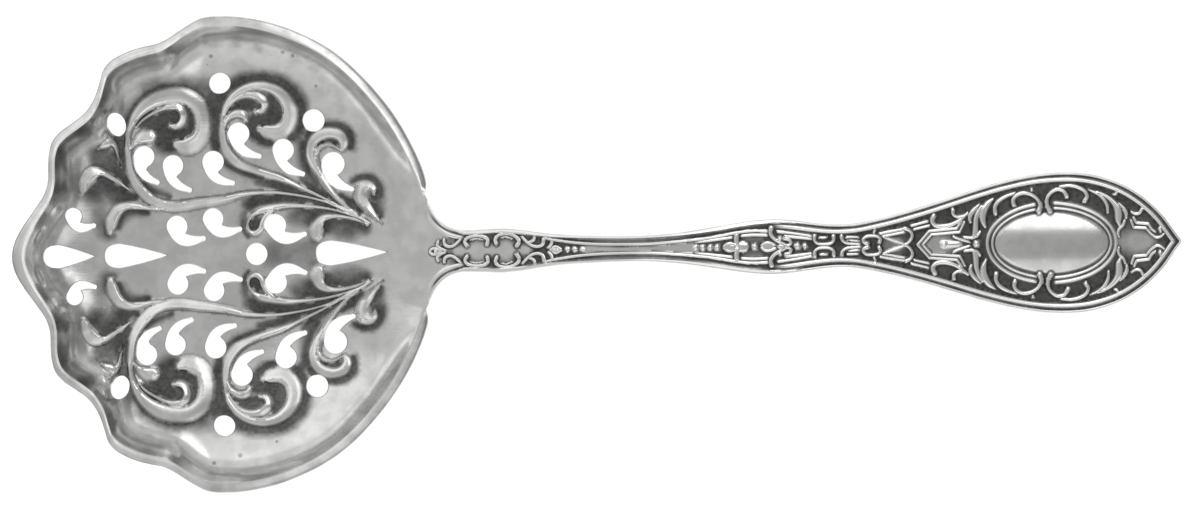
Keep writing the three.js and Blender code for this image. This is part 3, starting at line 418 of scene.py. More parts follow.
def wedge_loop(wedge):
    left, right, h = wedge
    belly = (left + WEDGE_BELLY[0] * (right - left), WEDGE_BELLY[1] * h)
    shoulder = left + WEDGE_SHOULDER * h
    upper = np.vstack([
        bent((right, 0.0), belly, (shoulder, h), 24),
        bent((shoulder, h), (left, h), (left, 0.0), 12)[1:],
    ])
    lower = upper[::-1][1:-1] * (1.0, -1.0)
    return np.vstack([upper, lower])


def flipped(loop):
    return (loop * (1.0, -1.0))[::-1]


def saw_cuts():
    half = [comma_loop(c) for c in COMMAS] + [round_loop(r) for r in ROUNDS]
    whole = half + [flipped(loop) for loop in half]
    whole += [round_loop(MIDDLE_ROUND)] + [wedge_loop(w) for w in WEDGES]
    return [evenly(loop, SAW_STEP) for loop in whole]


def loop_heading(loop):
    """Unit direction of travel at each point of a closed loop."""
    ahead = np.roll(loop, -1, axis=0) - np.roll(loop, 1, axis=0)
    return ahead / np.linalg.norm(ahead, axis=1)[:, None]


def widened(loop, by):
    """The loop moved out of its hole by a bevel's width, square to its own line."""
    ahead = loop_heading(loop)
    return loop + by * np.column_stack([ahead[:, 1], -ahead[:, 0]])


PAIRS_AT_ONCE = 1500000


def nearest(path, spots):
    """How far each spot is from the line, more than 0 to its left, and the line's width next to it."""
    start = path[:-1, :2]
    run = path[1:, :2] - start
    size = (run ** 2).sum(axis=1)
    gaps = np.empty(len(spots))
    widths = np.empty(len(spots))
    batch = max(1, PAIRS_AT_ONCE // len(start))
    for first in range(0, len(spots), batch):
        part = spots[first:first + batch]
        to = part[:, None, :] - start[None, :, :]
        t = np.clip((to * run).sum(axis=2) / size, 0.0, 1.0)
        miss = ((to - t[:, :, None] * run) ** 2).sum(axis=2)
        k = miss.argmin(axis=1)
        row = np.arange(len(part))
        share = t[row, k]
        turn = run[k, 0] * to[row, k, 1] - run[k, 1] * to[row, k, 0]
        gaps[first:first + batch] = np.where(turn < 0.0, -1.0, 1.0) * np.sqrt(miss[row, k])
        widths[first:first + batch] = path[k, 2] * (1.0 - share) + path[k + 1, 2] * share
    return gaps, widths


def within(path, spots, margin):
    """Which spots lie in the box round the line, widened by the margin."""
    low = path[:, :2].min(axis=0) - margin
    high = path[:, :2].max(axis=0) + margin
    return np.flatnonzero(((spots > low) & (spots < high)).all(axis=1))


# Where the foot of a band and of a rib lies, in half widths from its middle.
BAND_FOOT = 1.15
RIB_FOOT = 1.2
# How far a band's crest leans to one side, and the widths between which it begins to.
CREST_LEAN = 0.6
BROAD_BAND = (0.5, 1.1)


def band_shape(offset, width, lean):
    """A rounded band. Where it is broad, its crest lies near the inside of its curl, with a steep drop."""
    q = offset * lean / (0.5 * width)
    crest = CREST_LEAN * smooth(*BROAD_BAND, width)
    flank = np.clip((q + BAND_FOOT) / (crest + BAND_FOOT), 0.0, 1.0)
    drop = np.clip((BAND_FOOT - q) / (BAND_FOOT - crest), 0.0, 1.0)
    return np.where(q < crest, flank * (1.65 - 0.65 * flank), drop * (1.75 - 0.75 * drop))


def rib_shape(offset, width, lean):
    """A rib pitched to a crest."""
    q = np.abs(offset) / (0.5 * width)
    return np.clip(1.0 - q / RIB_FOOT, 0.0, 1.0) ** 0.85


bowl_strokes = [(band_shape, lean, rows) for lean, rows in SCROLL_BANDS]
bowl_strokes += [(rib_shape, 0, rows) for rows in SHARP_RIBS]
pinches = [(rib_shape, 0, rows) for rows in PINCHES]


# How far beside its line a stroke and a pool are felt, and where a stroke's foot lies, in its widths.
STROKE_MARGIN = 2.2
POOL_MARGIN = 3.0
STROKE_FOOT = 0.58


def struck(strokes, spots, rise):
    """Height of the relief at each spot, its share of the stroke's crest, the gap to the nearest foot."""
    height = np.zeros(len(spots))
    polish = np.zeros(len(spots))
    clear = np.full(len(spots), 9.0)
    for shape, lean, rows in strokes:
        path = flow(rows, 0.2)
        inside = within(path, spots, STROKE_MARGIN)
        offset, width = nearest(path, spots[inside])
        share = shape(offset, width, lean)
        tall = rise * np.minimum(1.0, 0.5 + 0.5 * width)
        height[inside] = np.maximum(height[inside], tall * share)
        polish[inside] = np.maximum(polish[inside], share)
        clear[inside] = np.minimum(clear[inside], np.abs(offset) - STROKE_FOOT * width)
    return height, polish, clear


def pooled(pools, spots):
    """How strongly tarnish has gathered at each spot."""
    dark = np.zeros(len(spots))
    for strength, rows in pools:
        path = flow(rows, 0.3)
        inside = within(path, spots, POOL_MARGIN)
        offset, half = nearest(path, spots[inside])
        share = np.exp(-(0.7 * np.abs(offset) / half) ** 2.6)
        dark[inside] = np.maximum(dark[inside], strength * share)
    return dark


def stained_and_shaded(spots):
    """Stains of the lobes' sides, and painted shade in two places of the wall, in patches of a millimetre
    or two.
    """
    dark = pooled(WALL_STAINS_AND_SHADE, spots)
    for i in np.flatnonzero(dark > 0.02):
        x, y = spots[i]
        broad = noise.noise((0.55 * x, 0.55 * y, 3.0))
        small = noise.noise((1.7 * x, 1.7 * y, 7.0))
        dark[i] *= 1.0 + 0.9 * broad + 0.5 * small
    return np.clip(dark, 0.0, 1.0)


# Tarnish off the relief, along the line of its foot and on its flanks.
HALO_DARK = 0.92
HALO_REACH = 0.45
FOOT_LINE_DARK = 0.75
FOOT_LINE_HALF = 0.12
FLANK_DARK = (0.45, 0.96)


def patina_on(ground, polish, clear):
    """Tarnish is deepest along the foot of the relief, thin over the ground and rubbed off the crests."""
    halo = ground * (0.55 + 0.45 * np.exp(-np.maximum(clear, 0.0) / HALO_REACH))
    halo = np.minimum(HALO_DARK, halo)
    line = FOOT_LINE_DARK * np.exp(-(clear / FOOT_LINE_HALF) ** 2)
    flank = np.clip(ground, *FLANK_DARK) * (1.0 - smooth(0.05, 0.7, polish))
    laid = np.maximum(np.where(clear > 0.0, halo, flank), line * (1.0 - smooth(0.3, 0.8, polish)))
    return np.maximum(laid, FILM * (1.0 - smooth(0.8, 0.97, polish)))


def thinned(spots, gap):
    """The spots in their order, leaving out each that comes too close to one already taken."""
    taken = {}
    kept = []
    for spot in spots:
        x, y = spot
        column = int(x // gap)
        row = int(y // gap)
        close = False
        for i in (column - 1, column, column + 1):
            for j in (row - 1, row, row + 1):
                for a, b in taken.get((i, j), ()):
                    close = close or (x - a) ** 2 + (y - b) ** 2 < gap * gap
        if not close:
            taken.setdefault((column, row), []).append((x, y))
            kept.append(spot)
    return np.array(kept)


def spaced(kept, extra, gap):
    """The kept points and those of the extra ones that are not too close to them."""
    tree = KDTree(len(kept))
    for i, (x, y) in enumerate(kept):
        tree.insert((x, y, 0.0), i)
    tree.balance()
    clear = [p for p in extra if tree.find((p[0], p[1], 0.0))[2] > gap]
    return np.vstack([kept] + [np.array(clear).reshape(-1, 2)])


def inside_loop(loop, spots):
    """Which spots lie inside the closed loop."""
    ahead = np.roll(loop, -1, axis=0)
    odd = np.zeros(len(spots), dtype=bool)
    for (ax, ay), (bx, by) in zip(loop, ahead):
        if ay == by:
            continue
        crosses = (spots[:, 1] < ay) != (spots[:, 1] < by)
        at = ax + (spots[:, 1] - ay) * (bx - ax) / (by - ay)
        odd ^= crosses & (spots[:, 0] < at)
    return odd


def hex_grid(low, high, step):
    """Points over a box in staggered rows."""
    rows = []
    for k, y in enumerate(np.arange(low[1], high[1], step * 0.866)):
        xs = np.arange(low[0] + (k % 2) * 0.5 * step, high[0], step)
        rows.append(np.column_stack([xs, np.full(len(xs), y)]))
    return np.vstack(rows)


def heading(path):
    """Unit direction of travel at each point of a line."""
    ahead = np.gradient(path[:, :2], axis=0)
    return ahead / np.linalg.norm(ahead, axis=1)[:, None]


def chase_lines(strokes, step):
    """Rows of points along the foot, flank and crest of every stroke, both halves."""
    rows = []
    for *_, line in strokes:
        path = flow(line, step)
        ahead = heading(path)
        side = np.column_stack([-ahead[:, 1], ahead[:, 0]])
        half = 0.5 * path[:, 2:3]
        for q in (0.0, 0.55, -0.55, 0.9, -0.9, 1.22, -1.22):
            spots = path[:, :2] + side * half * q
            rows += [spots, spots * (1.0, -1.0)]
    return np.vstack(rows)


def kept_clear(spots, outer, holes, gap):
    """The spots that lie inside the outer loop, outside the holes and off all their lines."""
    spots = spots[inside_loop(outer, spots)]
    for hole in holes:
        near = within(hole, spots, 0.01)
        bad = near[inside_loop(hole, spots[near])]
        spots = np.delete(spots, bad, axis=0)
    lines = np.vstack([outer] + list(holes))
    return spaced(lines, spots, gap)[len(lines):]


def fill_plan(outer, holes, spots):
    """Triangles over the plan, inside the outer loop and off the holes. The loops' points come first."""
    loops = [outer] + list(holes)
    plan = np.vstack(loops + [spots])
    edges = []
    owner = np.full(len(plan), -1)
    first = 0
    for number, loop in enumerate(loops):
        count = len(loop)
        edges += [(first + i, first + (i + 1) % count) for i in range(count)]
        owner[first:first + count] = number
        first += count
    result = delaunay_2d_cdt([Vector(p) for p in plan], edges, [], 0, 1e-9)
    origin = np.array([came[0] if came else -1 for came in result[3]])
    faces = origin[np.array(result[2])]
    whose = owner[faces]
    doubtful = (whose[:, 0] >= 0) & (whose[:, 0] == whose[:, 1]) & (whose[:, 1] == whose[:, 2])
    keep = np.ones(len(faces), dtype=bool)
    middle = plan[faces].mean(axis=1)
    for number, loop in enumerate(loops):
        chosen = np.flatnonzero(doubtful & (whose[:, 0] == number))
        in_it = inside_loop(loop, middle[chosen])
        keep[chosen] = in_it if number == 0 else ~in_it
    return plan, faces[keep]


def around(a, b):
    """Quads between two closed rings of points, the first to the inside."""
    count = len(a)
    return [(a[i], b[i], b[(i + 1) % count], a[(i + 1) % count]) for i in range(count)]


def silver_mesh(name, points, faces, tarnish_and_shade, sharp, crisp):
    """A smooth-shaded piece from points in millimetres, with its crisp lines and its stored tarnish and
    painted shade.
    """
    mesh = bpy.data.meshes.new(name)
    mesh.from_pydata((np.array(points) * MM).tolist(), [], faces)
    mesh.validate()
    mesh.shade_smooth()
    mesh.set_sharp_from_angle(angle=math.radians(sharp))
    ends = np.empty(2 * len(mesh.edges), dtype=np.int32)
    mesh.edges.foreach_get("vertices", ends)
    lines = np.isin(ends, crisp).reshape(-1, 2).all(axis=1)
    held = np.zeros(len(mesh.edges), dtype=bool)
    mesh.edges.foreach_get("use_edge_sharp", held)
    mesh.edges.foreach_set("use_edge_sharp", held | lines)
    mesh.attributes.new("tarnish_and_shade", "FLOAT", "POINT")
    mesh.attributes["tarnish_and_shade"].data.foreach_set("value", np.array(tarnish_and_shade, dtype=np.float32))
    piece = bpy.data.objects.new(name, mesh)
    bpy.context.scene.collection.objects.link(piece)
    return piece


def ring_of(first, count):
    return list(range(first, first + count))


def stitched(top, top_faces, sides, back, back_faces):
    """A closed skin of an upper plan, the rings of its side and a back plan. Plans begin with their rim."""
    count = len(sides[0])
    points = np.vstack([top, *sides, back])
    first_back = len(points) - len(back)
    firsts = [0] + [len(top) + k * count for k in range(len(sides))] + [first_back]
    rings = [ring_of(first, count) for first in firsts]
    faces = top_faces.tolist()
    for a, b in zip(rings, rings[1:]):
        faces += around(a, b)
    faces += (back_faces[:, ::-1] + first_back).tolist()
    return points.tolist(), faces


# How the bowl is meshed: limits of its plan, and the spacing of points by the relief, off it and below.
PLAN_LOW = (-23.0, -27.0)
PLAN_HIGH = (24.0, 27.0)
FINE_STEP = 0.21
COARSE_STEP = 0.42
BACK_STEP = 1.1
# Rings of the wall above the plan, as shares of the wall's run, and how dull each is on the lobed side.
WALL_RINGS = [(0.945, 0.3), (0.96, 0.5), (0.975, 0.6), (0.99, 0.6)]
# Rings of the sheet's cut edge: how far back, the drop below the rim, and the drop at the neck.
NECK_SHEET = 1.3
EDGE_BACK = 0.12
EDGE_RINGS = [(0.0, 0.54, -NECK_LIFT), (0.0, 0.95, 0.6), (0.03, 1.25, 1.0), (EDGE_BACK, 1.4, NECK_SHEET)]
UNDER_RINGS = (0.965, 0.947)
UNDER_DULL = 0.45
# The broken edges of a sawn hole, above and below, in widths of its bevel, and how dull the lower one is.
SAW_BREAK_TOP = 0.7
SAW_BREAK_FOOT = 0.6
SAW_DULL = 0.35


def to_upper(spots):
    """The spots, with those of the lower half mirrored to the upper one."""
    return np.column_stack([spots[:, 0], np.abs(spots[:, 1])])


def relief_spots(outer, cuts):
    """Points of the plan: along the strokes, round the spots of age, close by the relief, wide off it."""
    rows = [chase_lines(bowl_strokes, step=0.17)]
    circle = np.linspace(0.0, math.tau, 9)[:-1]
    for x, y, radius in AGE_SPOTS:
        for reach in (0.0, 0.5 * radius, radius, 1.5 * radius):
            rows.append(np.column_stack([x + reach * np.cos(circle), y + reach * np.sin(circle)]))
    spots = kept_clear(thinned(np.vstack(rows), gap=0.085), outer, cuts, gap=0.09)
    fine = hex_grid(PLAN_LOW, PLAN_HIGH, FINE_STEP)
    folded = to_upper(fine)
    close = np.zeros(len(fine), dtype=bool)
    for *_, line in bowl_strokes:
        path = flow(line, 0.3)
        chosen = within(path, folded, 1.3)
        offset, width = nearest(path, folded[chosen])
        close[chosen] |= np.abs(offset) < 0.5 * width + 0.8
    spots = spaced(spots, kept_clear(fine[close], outer, cuts, gap=0.12), gap=0.13)
    coarse = kept_clear(hex_grid(PLAN_LOW, PLAN_HIGH, COARSE_STEP), outer, cuts, gap=0.2)
    return spaced(spots, coarse, gap=0.24)


def bowl_relief(plan):
    """Height of the relief over the plan, and the tarnish that lies on it, with painted shade in places of
    the wall.
    """
    folded = to_upper(plan)
    rise, polish, clear = struck(bowl_strokes, folded, SCROLL_RISE)
    dark = patina_on(pooled(TARNISH_POOLS, folded), polish, clear)
    dark = np.maximum(dark, stained_and_shaded(plan))
    ridge, shine = struck(pinches, folded, PINCH_RISE)[:2]
    dark = dark * (1.0 - 0.9 * smooth(0.2, 0.7, shine))
    for x, y, radius in AGE_SPOTS:
        gap = np.hypot(plan[:, 0] - x, plan[:, 1] - y) / radius
        dark = np.maximum(dark, SPOT_DARK * np.exp(-gap ** 4))
    return np.maximum(rise, ridge), dark


def make_bowl():
    foot, crest, sweep = section_at(column_angle)
    run = crest - foot
    turn = np.column_stack([np.cos(column_angle), np.sin(column_angle)])
    neck = column_neck

    def ring_at(reach, height):
        return np.column_stack([turn * reach[:, None], height])

    def wall_ring(u):
        return ring_at(foot + run * u, wall_height(u, sweep, column_angle))

    def lip_ring(share, drop):
        height = RIM_HEIGHT - drop * (1.0 - neck) + NECK_LIFT * share * neck
        return ring_at(crest + column_lip * share, height)

    def edge_ring(back, drop, neck_drop):
        height = RIM_HEIGHT - drop * (1.0 - neck) - neck_drop * neck
        return ring_at(column_reach - back * (1.0 - neck), height)

    def under_ring(u):
        lean = wall_lean(u, sweep, column_angle, run)
        reach = np.minimum(foot + run * u + SHEET * np.sin(lean), column_reach - EDGE_BACK)
        return ring_at(reach, wall_height(u, sweep, column_angle) - SHEET * np.cos(lean))

    cuts = saw_cuts()
    top_cuts = [widened(loop, HOLE_BEVEL) for loop in cuts]
    back_cuts = [widened(loop, 0.5 * HOLE_BEVEL) for loop in cuts]
    outer = wall_ring(SPUN_FROM)[:, :2]
    plan, plan_faces = fill_plan(outer, top_cuts, relief_spots(outer, top_cuts))
    rise, dark = bowl_relief(plan)
    top = np.column_stack([plan, dish_face(plan[:, 0], plan[:, 1]) + rise])

    plain = smooth(*PLAIN_RIM, np.cos(column_angle))
    shapes = [(wall_ring(u), dull + (FILM - dull) * plain) for u, dull in WALL_RINGS]
    for lobed, spun in zip(LOBED_LIP, PLAIN_LIP):
        out, share, fall, dull = [a + (b - a) * plain for a, b in zip(lobed, spun)]
        shapes.append((lip_ring(out / column_lip + share, fall), dull))
    shapes += [(edge_ring(*row), UNDER_DULL) for row in EDGE_RINGS]
    shapes += [(under_ring(u), UNDER_DULL) for u in UNDER_RINGS]
    back_ring = under_ring(SPUN_FROM)[:, :2]
    back_spots = kept_clear(hex_grid(PLAN_LOW, PLAN_HIGH, BACK_STEP), back_ring, back_cuts, gap=0.5)
    back_plan, back_faces = fill_plan(back_ring, back_cuts, back_spots)
    back = np.column_stack([back_plan, dish_back(back_plan[:, 0], back_plan[:, 1])])
    points, faces = stitched(top, plan_faces, [shape for shape, _ in shapes], back, back_faces)
    tarnish_and_shade = dark.tolist()
    for shape, dull in shapes:
        dull = dull + (FILM - dull) * neck
        tarnish_and_shade += np.maximum(dull, stained_and_shaded(shape[:, :2])).tolist()
    tarnish_and_shade += [UNDER_DULL] * len(back)

    count = len(columns)
    top_first = count
    back_first = len(points) - len(back) + count
    saw_lines = ring_of(count, sum(len(loop) for loop in cuts))
    for loop in cuts:
        size = len(loop)
        above = dish_face(loop[:, 0], loop[:, 1])
        above = above + struck(bowl_strokes, to_upper(loop), SCROLL_RISE)[0]
        below = dish_back(loop[:, 0], loop[:, 1])
        upper_edge = ring_of(top_first, size)
        lower_edge = ring_of(back_first, size)
        saw_top = ring_of(len(points), size)
        points += np.column_stack([loop, above - SAW_BREAK_TOP * HOLE_BEVEL]).tolist()
        saw_foot = ring_of(len(points), size)
        points += np.column_stack([loop, below + SAW_BREAK_FOOT * HOLE_BEVEL]).tolist()
        # Painted shade: the upper break of each sawn edge is darkened on the hole's right-hand side, where
        # the bevel faces away from the light.
        outward = (widened(loop, 1.0) - loop)[:, 0]
        tarnish_and_shade += (0.1 + 0.85 * smooth(0.1, 0.8, outward)).tolist()
        tarnish_and_shade += [SAW_DULL] * size
        faces += around(saw_top, upper_edge)
        faces += around(saw_foot, saw_top)
        faces += around(lower_edge, saw_foot)
        top_first += size
        back_first += size
    return silver_mesh("pierced_bowl", points, faces, tarnish_and_shade, sharp=48.0, crisp=saw_lines)


def group_tree(name, inputs, outputs):
    """An empty shader node group with its named sockets, and its two end nodes."""
    tree = bpy.data.node_groups.new(name, "ShaderNodeTree")
    for label, kind, value in inputs:
        socket = tree.interface.new_socket(label, in_out="INPUT", socket_type=kind)
        socket.default_value = value
    for label, kind in outputs:
        tree.interface.new_socket(label, in_out="OUTPUT", socket_type=kind)
    return tree, tree.nodes.new("NodeGroupInput"), tree.nodes.new("NodeGroupOutput")


def feed(tree, socket, value):
    """Set a socket to a fixed value, or join it to the output of another node."""
    if isinstance(value, (int, float, tuple)):
        socket.default_value = value
    else:
        tree.links.new(value, socket)


def feed_all(tree, node, values):
    for label, value in values.items():
        feed(tree, node.inputs[label], value)


def grain(tree, place, scale, detail, rough):
    node = tree.nodes.new("ShaderNodeTexNoise")
    feed_all(tree, node, {"Vector": place, "Scale": scale, "Detail": detail, "Roughness": rough})
    return node.outputs["Fac"]


def math_of(tree, kind, a, b):
    node = tree.nodes.new("ShaderNodeMath")
    node.operation = kind
    feed(tree, node.inputs[0], a)
    feed(tree, node.inputs[1], b)
    return node.outputs["Value"]


def ramp_of(tree, value, low, high, to_low, to_high):
    node = tree.nodes.new("ShaderNodeMapRange")
    node.interpolation_type = "SMOOTHSTEP"
    feed_all(tree, node, {"Value": value, "From Min": low, "From Max": high})
    feed_all(tree, node, {"To Min": to_low, "To Max": to_high})
    return node.outputs["Result"]


def blend_of(tree, share, a, b):
    node = tree.nodes.new("ShaderNodeMix")
    node.data_type = "RGBA"
    feed(tree, node.inputs["Factor"], share)
    colours = [socket for socket in node.inputs if socket.type == "RGBA"]
    feed(tree, colours[0], a)
    feed(tree, colours[1], b)
    return next(socket for socket in node.outputs if socket.type == "RGBA")


RUBBED_SILVER = (0.93, 0.93, 0.92, 1.0)
CLOUDED_SILVER = (0.66, 0.66, 0.65, 1.0)
# The darkest colour, taken both by tarnish and by the painted shade stored with it.
TARNISH_AND_SHADE_BLACK = (0.05, 0.049, 0.048, 1.0)


def shade_and_patina_group():
    """Silver that darkens where tarnish lies and where shade is painted, cloudy where hands have rubbed it.
    """
    tree, given, put = group_tree(
        "silver_shade_and_patina",
        [
            ("Tarnish and shade", "NodeSocketFloat", 0.0),
            ("Clouding", "NodeSocketFloat", 0.3),
            ("Dullness", "NodeSocketFloat", 0.2),
        ],
        [("Color", "NodeSocketColor"), ("Roughness", "NodeSocketFloat")],
    )
    place = tree.nodes.new("ShaderNodeTexCoord").outputs["Object"]
    clouds = grain(tree, place, 260.0, 3.0, 0.55)
    blotch = grain(tree, place, 520.0, 2.0, 0.5)
    grime = grain(tree, place, 2600.0, 3.0, 0.6)
    cloud = ramp_of(tree, clouds, 0.35, 0.7, 0.0, 1.0)
    mottle = ramp_of(tree, blotch, 0.35, 0.65, -0.3, 0.3)
    speck = ramp_of(tree, grime, 0.3, 0.7, -0.035, 0.035)
    given_dark = given.outputs["Tarnish and shade"]
    between = math_of(tree, "MULTIPLY", given_dark, math_of(tree, "SUBTRACT", 1.0, given_dark))
    patches = math_of(tree, "MULTIPLY", mottle, between)
    uneven = math_of(tree, "ADD", patches, math_of(tree, "MULTIPLY", speck, given_dark))
    laid = math_of(tree, "ADD", given_dark, uneven)
    hazy = math_of(tree, "MULTIPLY", cloud, given.outputs["Clouding"])
    bright = blend_of(tree, hazy, RUBBED_SILVER, CLOUDED_SILVER)
    share = math_of(tree, "MINIMUM", math_of(tree, "MAXIMUM", laid, 0.0), 1.0)
    dark = blend_of(tree, share, bright, TARNISH_AND_SHADE_BLACK)
    tree.links.new(dark, put.inputs["Color"])
    dull = math_of(tree, "MULTIPLY", share, 0.14)
    rough = math_of(tree, "ADD", dull, math_of(tree, "MULTIPLY", hazy, 0.12))
    tree.links.new(math_of(tree, "ADD", rough, given.outputs["Dullness"]), put.inputs["Roughness"])
    return tree


def wear_group():
    """Fine scratches from rubbing and small pits from use, as a height."""
    tree, given, put = group_tree(
        "silver_wear",
        [("Scratches", "NodeSocketFloat", 0.5), ("Pits", "NodeSocketFloat", 0.5)],
        [("Height", "NodeSocketFloat")],
    )
    place = tree.nodes.new("ShaderNodeTexCoord").outputs["Object"]
    drawn = tree.nodes.new("ShaderNodeMapping")
    turned = (0.0, 0.0, math.radians(24.0))
    feed_all(tree, drawn, {"Vector": place, "Rotation": turned, "Scale": (300.0, 3600.0, 300.0)})
    hair = grain(tree, drawn.outputs["Vector"], 1.0, 3.0, 0.6)
    scratch = math_of(tree, "MULTIPLY", hair, given.outputs["Scratches"])
    cells = tree.nodes.new("ShaderNodeTexVoronoi")
    feed_all(tree, cells, {"Vector": place, "Scale": 420.0})
    pit = ramp_of(tree, cells.outputs["Distance"], 0.03, 0.1, -1.0, 0.0)
    worn = math_of(tree, "MULTIPLY", pit, given.outputs["Pits"])
    tree.links.new(math_of(tree, "ADD", scratch, worn), put.inputs["Height"])
    return tree


shade_and_patina = shade_and_patina_group()
wear = wear_group()
MARK_DEPTH = 0.00004


def silver(name, clouding, dullness, scratches, pits, bump):
    """Polished silver under its stored tarnish and painted shade, with the marks of use as a bump."""
    material = bpy.data.materials.new(name)
    material.use_nodes = True
    tree = material.node_tree
    stored = tree.nodes.new("ShaderNodeAttribute")
    stored.attribute_name = "tarnish_and_shade"
    skin = tree.nodes.new("ShaderNodeGroup")
    skin.node_tree = shade_and_patina
    feed_all(tree, skin, {"Tarnish and shade": stored.outputs["Fac"], "Clouding": clouding, "Dullness": dullness})
    marks = tree.nodes.new("ShaderNodeGroup")
    marks.node_tree = wear
    feed_all(tree, marks, {"Scratches": scratches, "Pits": pits})
    lift = tree.nodes.new("ShaderNodeBump")
    feed_all(tree, lift, {"Height": marks.outputs["Height"], "Strength": bump, "Distance": MARK_DEPTH})
    feed_all(tree, tree.nodes["Principled BSDF"], {
        "Metallic": 1.0,
        "Base Color": skin.outputs["Color"],
        "Roughness": skin.outputs["Roughness"],
        "Normal": lift.outputs["Normal"],
    })
    return material


bowl = make_bowl()
bowl_silver = silver("worn_bowl_silver", clouding=0.35, dullness=0.15, scratches=0.5, pits=0.5, bump=0.35)
bowl.data.materials.append(bowl_silver)
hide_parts("bowl")
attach(bowl, "root")


# Handle: one bar of sterling silver struck between dies, arched along its length and resting on its tip.
# Threads run round its border, and strapwork, bellflowers and scrolls stand up from a darkened field.
# Its flared end is filed square and meets the bowl's neck at the solder.
HANDLE_X = 23.6
HANDLE_TIP = 107.5
HANDLE_THICKNESS = 2.3
NECK_TOP = 6.85
ARCH_RISE = 6.3
FIELD_DROP = 0.25
THREAD_RISE = 0.12
ORNAMENT_RISE = 0.15
ORNAMENT_BREADTH = 1.42
RING_RISE = 0.09
BEAD_RISE = 0.22
# Half width of the bar from which its border has its full width.
FULL_BORDER = 2.2

# Half widths along the handle.
HALF_WIDTHS = [
    (23.6, 5.8), (24.0, 4.95), (24.5, 4.05), (25.0, 3.45), (25.6, 2.95), (26.3, 2.6), (27.0, 2.4),
    (28.0, 2.32), (30.0, 2.4), (32.0, 2.45), (34.0, 2.27), (36.0, 1.97), (38.0, 1.74), (40.0, 1.6),
    (43.0, 1.47), (46.0, 1.42), (49.0, 1.52), (52.0, 1.8), (55.0, 2.25), (58.0, 2.72), (60.0, 2.97),
    (62.0, 3.05), (64.0, 2.92),
    (66.0, 2.65), (68.0, 2.44), (69.5, 2.4), (71.0, 2.5), (73.0, 2.87), (75.0, 3.32), (77.0, 3.85),
    (79.0, 4.42), (81.0, 5.03), (83.0, 5.66), (85.0, 6.27), (87.0, 6.82), (89.0, 7.28), (91.0, 7.62),
    (93.0, 7.81), (95.0, 7.85), (97.0, 7.68), (99.0, 7.22), (101.0, 6.45), (103.0, 5.25), (104.5, 4.0),
    (105.5, 2.95), (106.4, 1.75), (107.1, 0.75), (107.5, 0.25),
]
# Side view: x, height of the top as a share of the arch above the neck, share of the full thickness.
SIDE_VIEW = [
    (23.6, 0.0, 0.59), (25.0, 0.12, 0.66), (27.0, 0.28, 0.76), (30.0, 0.5, 0.88), (36.0, 0.83, 1.0),
    (44.0, 1.0, 1.0), (54.0, 0.9, 1.0), (66.0, 0.56, 0.92), (80.0, 0.0, 0.85), (92.0, -0.45, 0.78),
    (100.0, -0.7, 0.72), (107.5, -0.86, 0.66),
]
TIP_SHARE = -SIDE_VIEW[-1][1]
TIP_TOP = HANDLE_THICKNESS * SIDE_VIEW[-1][2]

